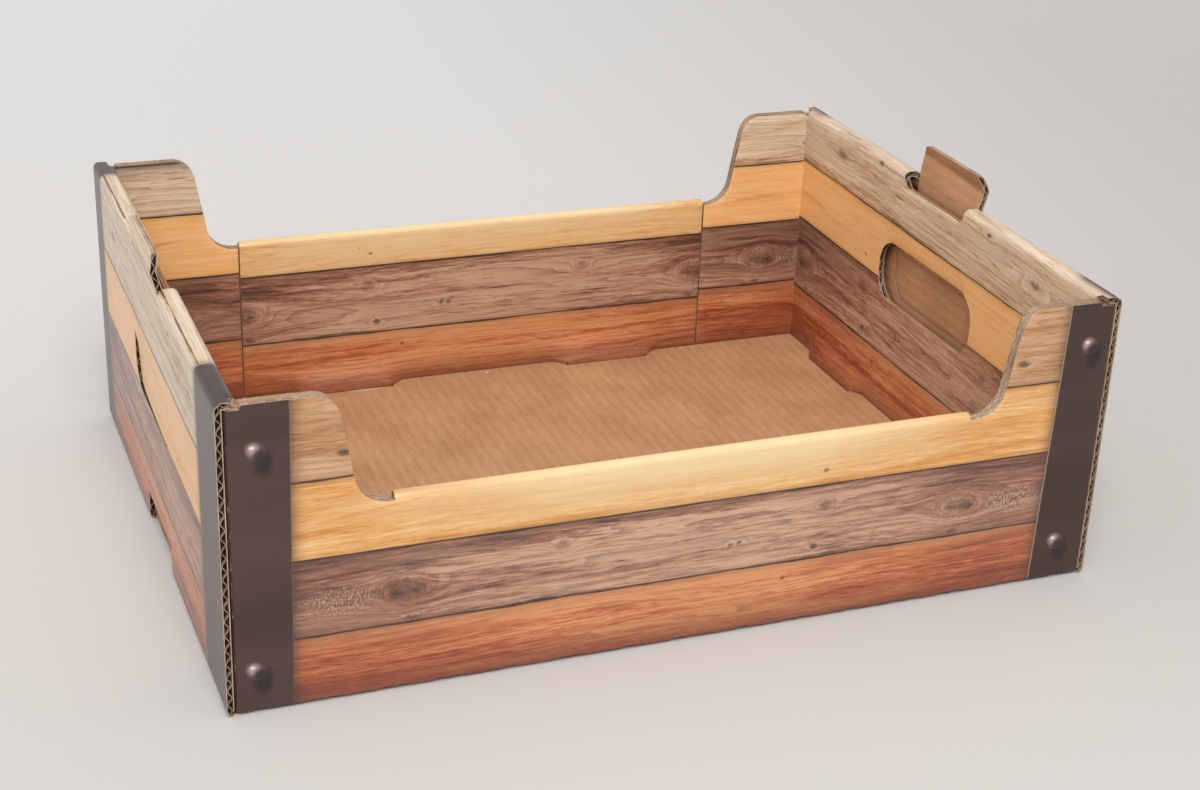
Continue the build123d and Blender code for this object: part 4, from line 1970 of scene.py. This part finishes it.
@dataclass(frozen=True)
class KraftLiner:
    """Brown kraft paper, the unprinted face of the board: matt, with short fibres and flute lines."""

    name: str = "kraft_liner"
    dark: str = "9b6c48"
    mid: str = "ae8059"
    light: str = "be916a"
    torn: str = "cdc2b8"
    # The darkest tone, reached where painted shade darkens the kraft.
    painted_shade: str = "4a3020"
    flecks: tuple = ((-66.0, 138.2, 10.5, 2.4), (188.2, 63.4, 1.3, 1.6), (4.0, 140.6, 1.5, 0.9))

    def build(self) -> bpy.types.Material:
        """Makes the material: fibres drawn out along the flutes over faint stripes, painted shade at folds
        and in the hollow behind the tab, and torn spots.

        Returns:
            The material.
        """
        tree = Tree(self.name)
        add, thick = tree.add, BOARD.thickness
        place = add("TexCoord").outputs["Object"]
        broad = add("TexNoise", {"Vector": place, "Scale": 26.0, "Detail": 3.0})
        fine = add("TexNoise", {"Vector": place, "Scale": 900.0, "Detail": 4.0, "Roughness": 0.7})
        flutes = add("UVMap", uv_map="flutes")
        drawn = add("VectorMath", flutes, (1 / 1.1, 1 / 14.0, 1.0), operation="MULTIPLY")
        fibre = add("TexNoise", {"Vector": drawn, "Scale": 1.0, "Detail": 4.0, "Roughness": 0.65})
        wave = tree.washboard()
        # Painted shade: the kraft darkens near folds, over the tab's bent-back top and in the hollow
        # behind it.
        crease = add("MapRange", tree.read("wear_and_shade")[1], 1.1, 0.0, 0.0, -0.34)
        tone = tree.weigh((broad, 0.35), (fine, 0.2), (fibre, 0.45), (wave, 0.03), start=crease)
        stops = ((0.12, self.painted_shade), (0.34, self.dark), (0.5, self.mid), (0.66, self.light))
        colour = add("ValToRGB", tone, stops=stops)
        for along, up, half, rise in self.flecks:
            centre = (along * METRE, up * METRE, thick * METRE)
            scale = (1 / (half * METRE), 1 / (rise * METRE), 1 / (thick * METRE))
            ragged = tree.weigh((fine, -1.6), start=tree.far(place, centre, scale))
            shown = add("MapRange", ragged, 0.2, 0.05)
            colour = add("Mix", {0: shown, 6: colour, 7: self.torn}, data_type="RGBA")
        height = tree.weigh((wave, 0.03), (fibre, 0.05))
        bump = add("Bump", {"Strength": 1.0, "Distance": METRE, "Height": height})
        return tree.finish(Base_Color=colour, Normal=bump, Roughness=0.78)


@dataclass(frozen=True)
class CutPaper:
    """Paper cut by a die: a matt, slightly furry edge, lighter or darker than the liner's face."""

    name: str
    dark: str
    light: str
    # The darkest tone, for painted shade deep in an open edge.
    painted_shade: str = "271c15"

    def build(self) -> bpy.types.Material:
        """Makes the material: fine mottled noise between two tones, with painted shade that darkens it
        deeper into the open edge, down the flutes.

        Returns:
            The material.
        """
        tree = Tree(self.name)
        add = tree.add
        place = add("TexCoord").outputs["Object"]
        fine = add("TexNoise", {"Vector": place, "Scale": 700.0, "Detail": 4.0, "Roughness": 0.7})
        broad = add("TexNoise", {"Vector": place, "Scale": 60.0, "Detail": 2.0})
        # Painted shade: the edge darkens deeper into the open cut, down the flutes.
        groove_shade = add("MapRange", tree.read("wear_and_shade")[0], 0.9, 2.6, 0.0, -0.36)
        tone = tree.weigh((fine, broad), start=groove_shade)
        colour = add("ValToRGB", tone, stops=((0.0, self.painted_shade), (0.12, self.dark), (0.36, self.light)))
        bump = add("Bump", {"Strength": 0.6, "Distance": 0.15 * METRE, "Height": fine})
        return tree.finish(Base_Color=colour, Normal=bump, Roughness=0.85)


class Stock:
    """The finishes that all sheets share."""

    def __init__(self) -> None:
        """Makes each finish once."""
        self.print_liner = PlankPrint().build()
        self.kraft = KraftLiner().build()
        self.cut = CutPaper("cut_liner_edge", "85705b", "b7a48f").build()
        self.medium = CutPaper("fluting_paper", "6f5947", "9c856d").build()


@dataclass
class Studio:
    """A seamless pale table, soft light from the front left, and the camera, in metres."""

    focal: float = 61.94
    sensor: float = 36.0
    place: tuple = (-0.32556, -0.85001, 0.46437)
    yaw: float = 0.38122
    pitch: float = 0.42573
    roll: float = 0.03955
    # Table tones, from the painted shade at the right and front to the lighter back.
    ground: tuple = ((0.0, "aba69f"), (0.3, "bcb8b5"), (1.0, "dfdfdf"))
    reach: float = 12.0
    drop: float = 0.0002
    lamps: tuple = (("key", (-0.62, -1.9, 2.3), 1.6, 83.0), ("left", (-2.4, 0.2, 1.2), 1.2, 8.0))
    world: tuple = ("e6e5e4", 0.88)

    def camera(self) -> None:
        """Sets the camera from its place, its yaw, pitch and roll."""
        data = bpy.data.cameras.new("camera")
        data.lens = self.focal
        data.sensor_width = self.sensor
        data.clip_end = 50.0
        eye = bpy.data.objects.new("camera", data)
        level = Vector((math.sin(self.yaw), math.cos(self.yaw), 0.0))
        ahead = level * math.cos(self.pitch) - Vector((0.0, 0.0, math.sin(self.pitch)))
        right = Vector((math.cos(self.yaw), -math.sin(self.yaw), 0.0))
        above = right.cross(ahead)
        right_now = right * math.cos(self.roll) + above * math.sin(self.roll)
        above_now = above * math.cos(self.roll) - right * math.sin(self.roll)
        axes = Matrix((right_now, above_now, -ahead)).transposed().to_4x4()
        eye.matrix_world = Matrix.Translation(self.place) @ axes
        bpy.context.scene.collection.objects.link(eye)
        bpy.context.scene.camera = eye

    def lights(self) -> None:
        """A wide overhead softbox, a lower one at the left, and an even grey world."""
        world = bpy.data.worlds.new("world")
        bpy.context.scene.world = world
        world.use_nodes = True
        back = world.node_tree.nodes["Background"]
        back.inputs["Color"].default_value = linear(self.world[0])
        back.inputs["Strength"].default_value = self.world[1]
        for name, place, size, power in self.lamps:
            data = bpy.data.lights.new(name, "AREA")
            data.size = size
            data.energy = power
            lamp = bpy.data.objects.new(name, data)
            turned = Vector(place).to_track_quat("Z", "Y").to_matrix().to_4x4()
            lamp.matrix_world = Matrix.Translation(place) @ turned
            bpy.context.scene.collection.objects.link(lamp)

    def table(self) -> None:
        """A large matt table top with painted shade: a little darker towards the right and the front,
        lighter towards the back.
        """
        tree = Tree("studio_paper")
        place = tree.add("SeparateXYZ", tree.add("TexCoord").outputs["Object"])
        # Painted shade and light: darker towards the right and the front, lighter towards the back.
        side = tree.add("MapRange", place.outputs[0], 0.15, 0.7, 0.0, -0.28)
        far = tree.add("MapRange", place.outputs[1], -0.2, 1.4, 0.3)
        tone = tree.add("Math", far, side, operation="ADD")
        finish = tree.finish(Base_Color=tree.add("ValToRGB", tone, stops=self.ground), Roughness=0.9)
        mesh = bpy.data.meshes.new("table")
        corners = [(i * self.reach, j * self.reach, 0) for i, j in ((-1, -1), (1, -1), (1, 1), (-1, 1))]
        mesh.from_pydata(corners, [], [(0, 1, 2, 3)])
        mesh.materials.append(finish)
        top = bpy.data.objects.new("table", mesh)
        top.location.z = -self.drop
        bpy.context.scene.collection.objects.link(top)


def main() -> None:
    """Builds the studio and the crate's sheets in order."""
    logging.basicConfig(level=logging.INFO, format="%(message)s")
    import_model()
    studio = Studio()
    studio.camera()
    studio.lights()
    studio.table()
    bpy.context.scene.view_settings.view_transform = "Standard"
    stock = Stock()
    sizes = CrateSizes()
    Floor(sizes).build(stock)
    LongWall(sizes, 1.0, "front_wall", 0).build(stock)
    LongWall(sizes, -1.0, "back_wall", 1).build(stock)
    EndWall(sizes, 1.0, "right_end_wall", 2, strap_front=122.0, strap_over=1.0).build(stock)
    EndWall(sizes, -1.0, "left_end_wall", 3, strap_over=7.5).build(stock)
    StackingTab(sizes, 1.0, "right_stacking_tab", 2).build(stock)
    StackingTab(sizes, -1.0, "left_stacking_tab", 3).build(stock)
    HandFlap(sizes, 1.0, "right_flap_board", 2).build(stock, "right_flap", "right_hand_flap")
    HandFlap(sizes, -1.0, "left_flap_board", 3, pushed=1.5).build(stock, "left_flap", "left_hand_flap")


if __name__ == "__main__":
    main()
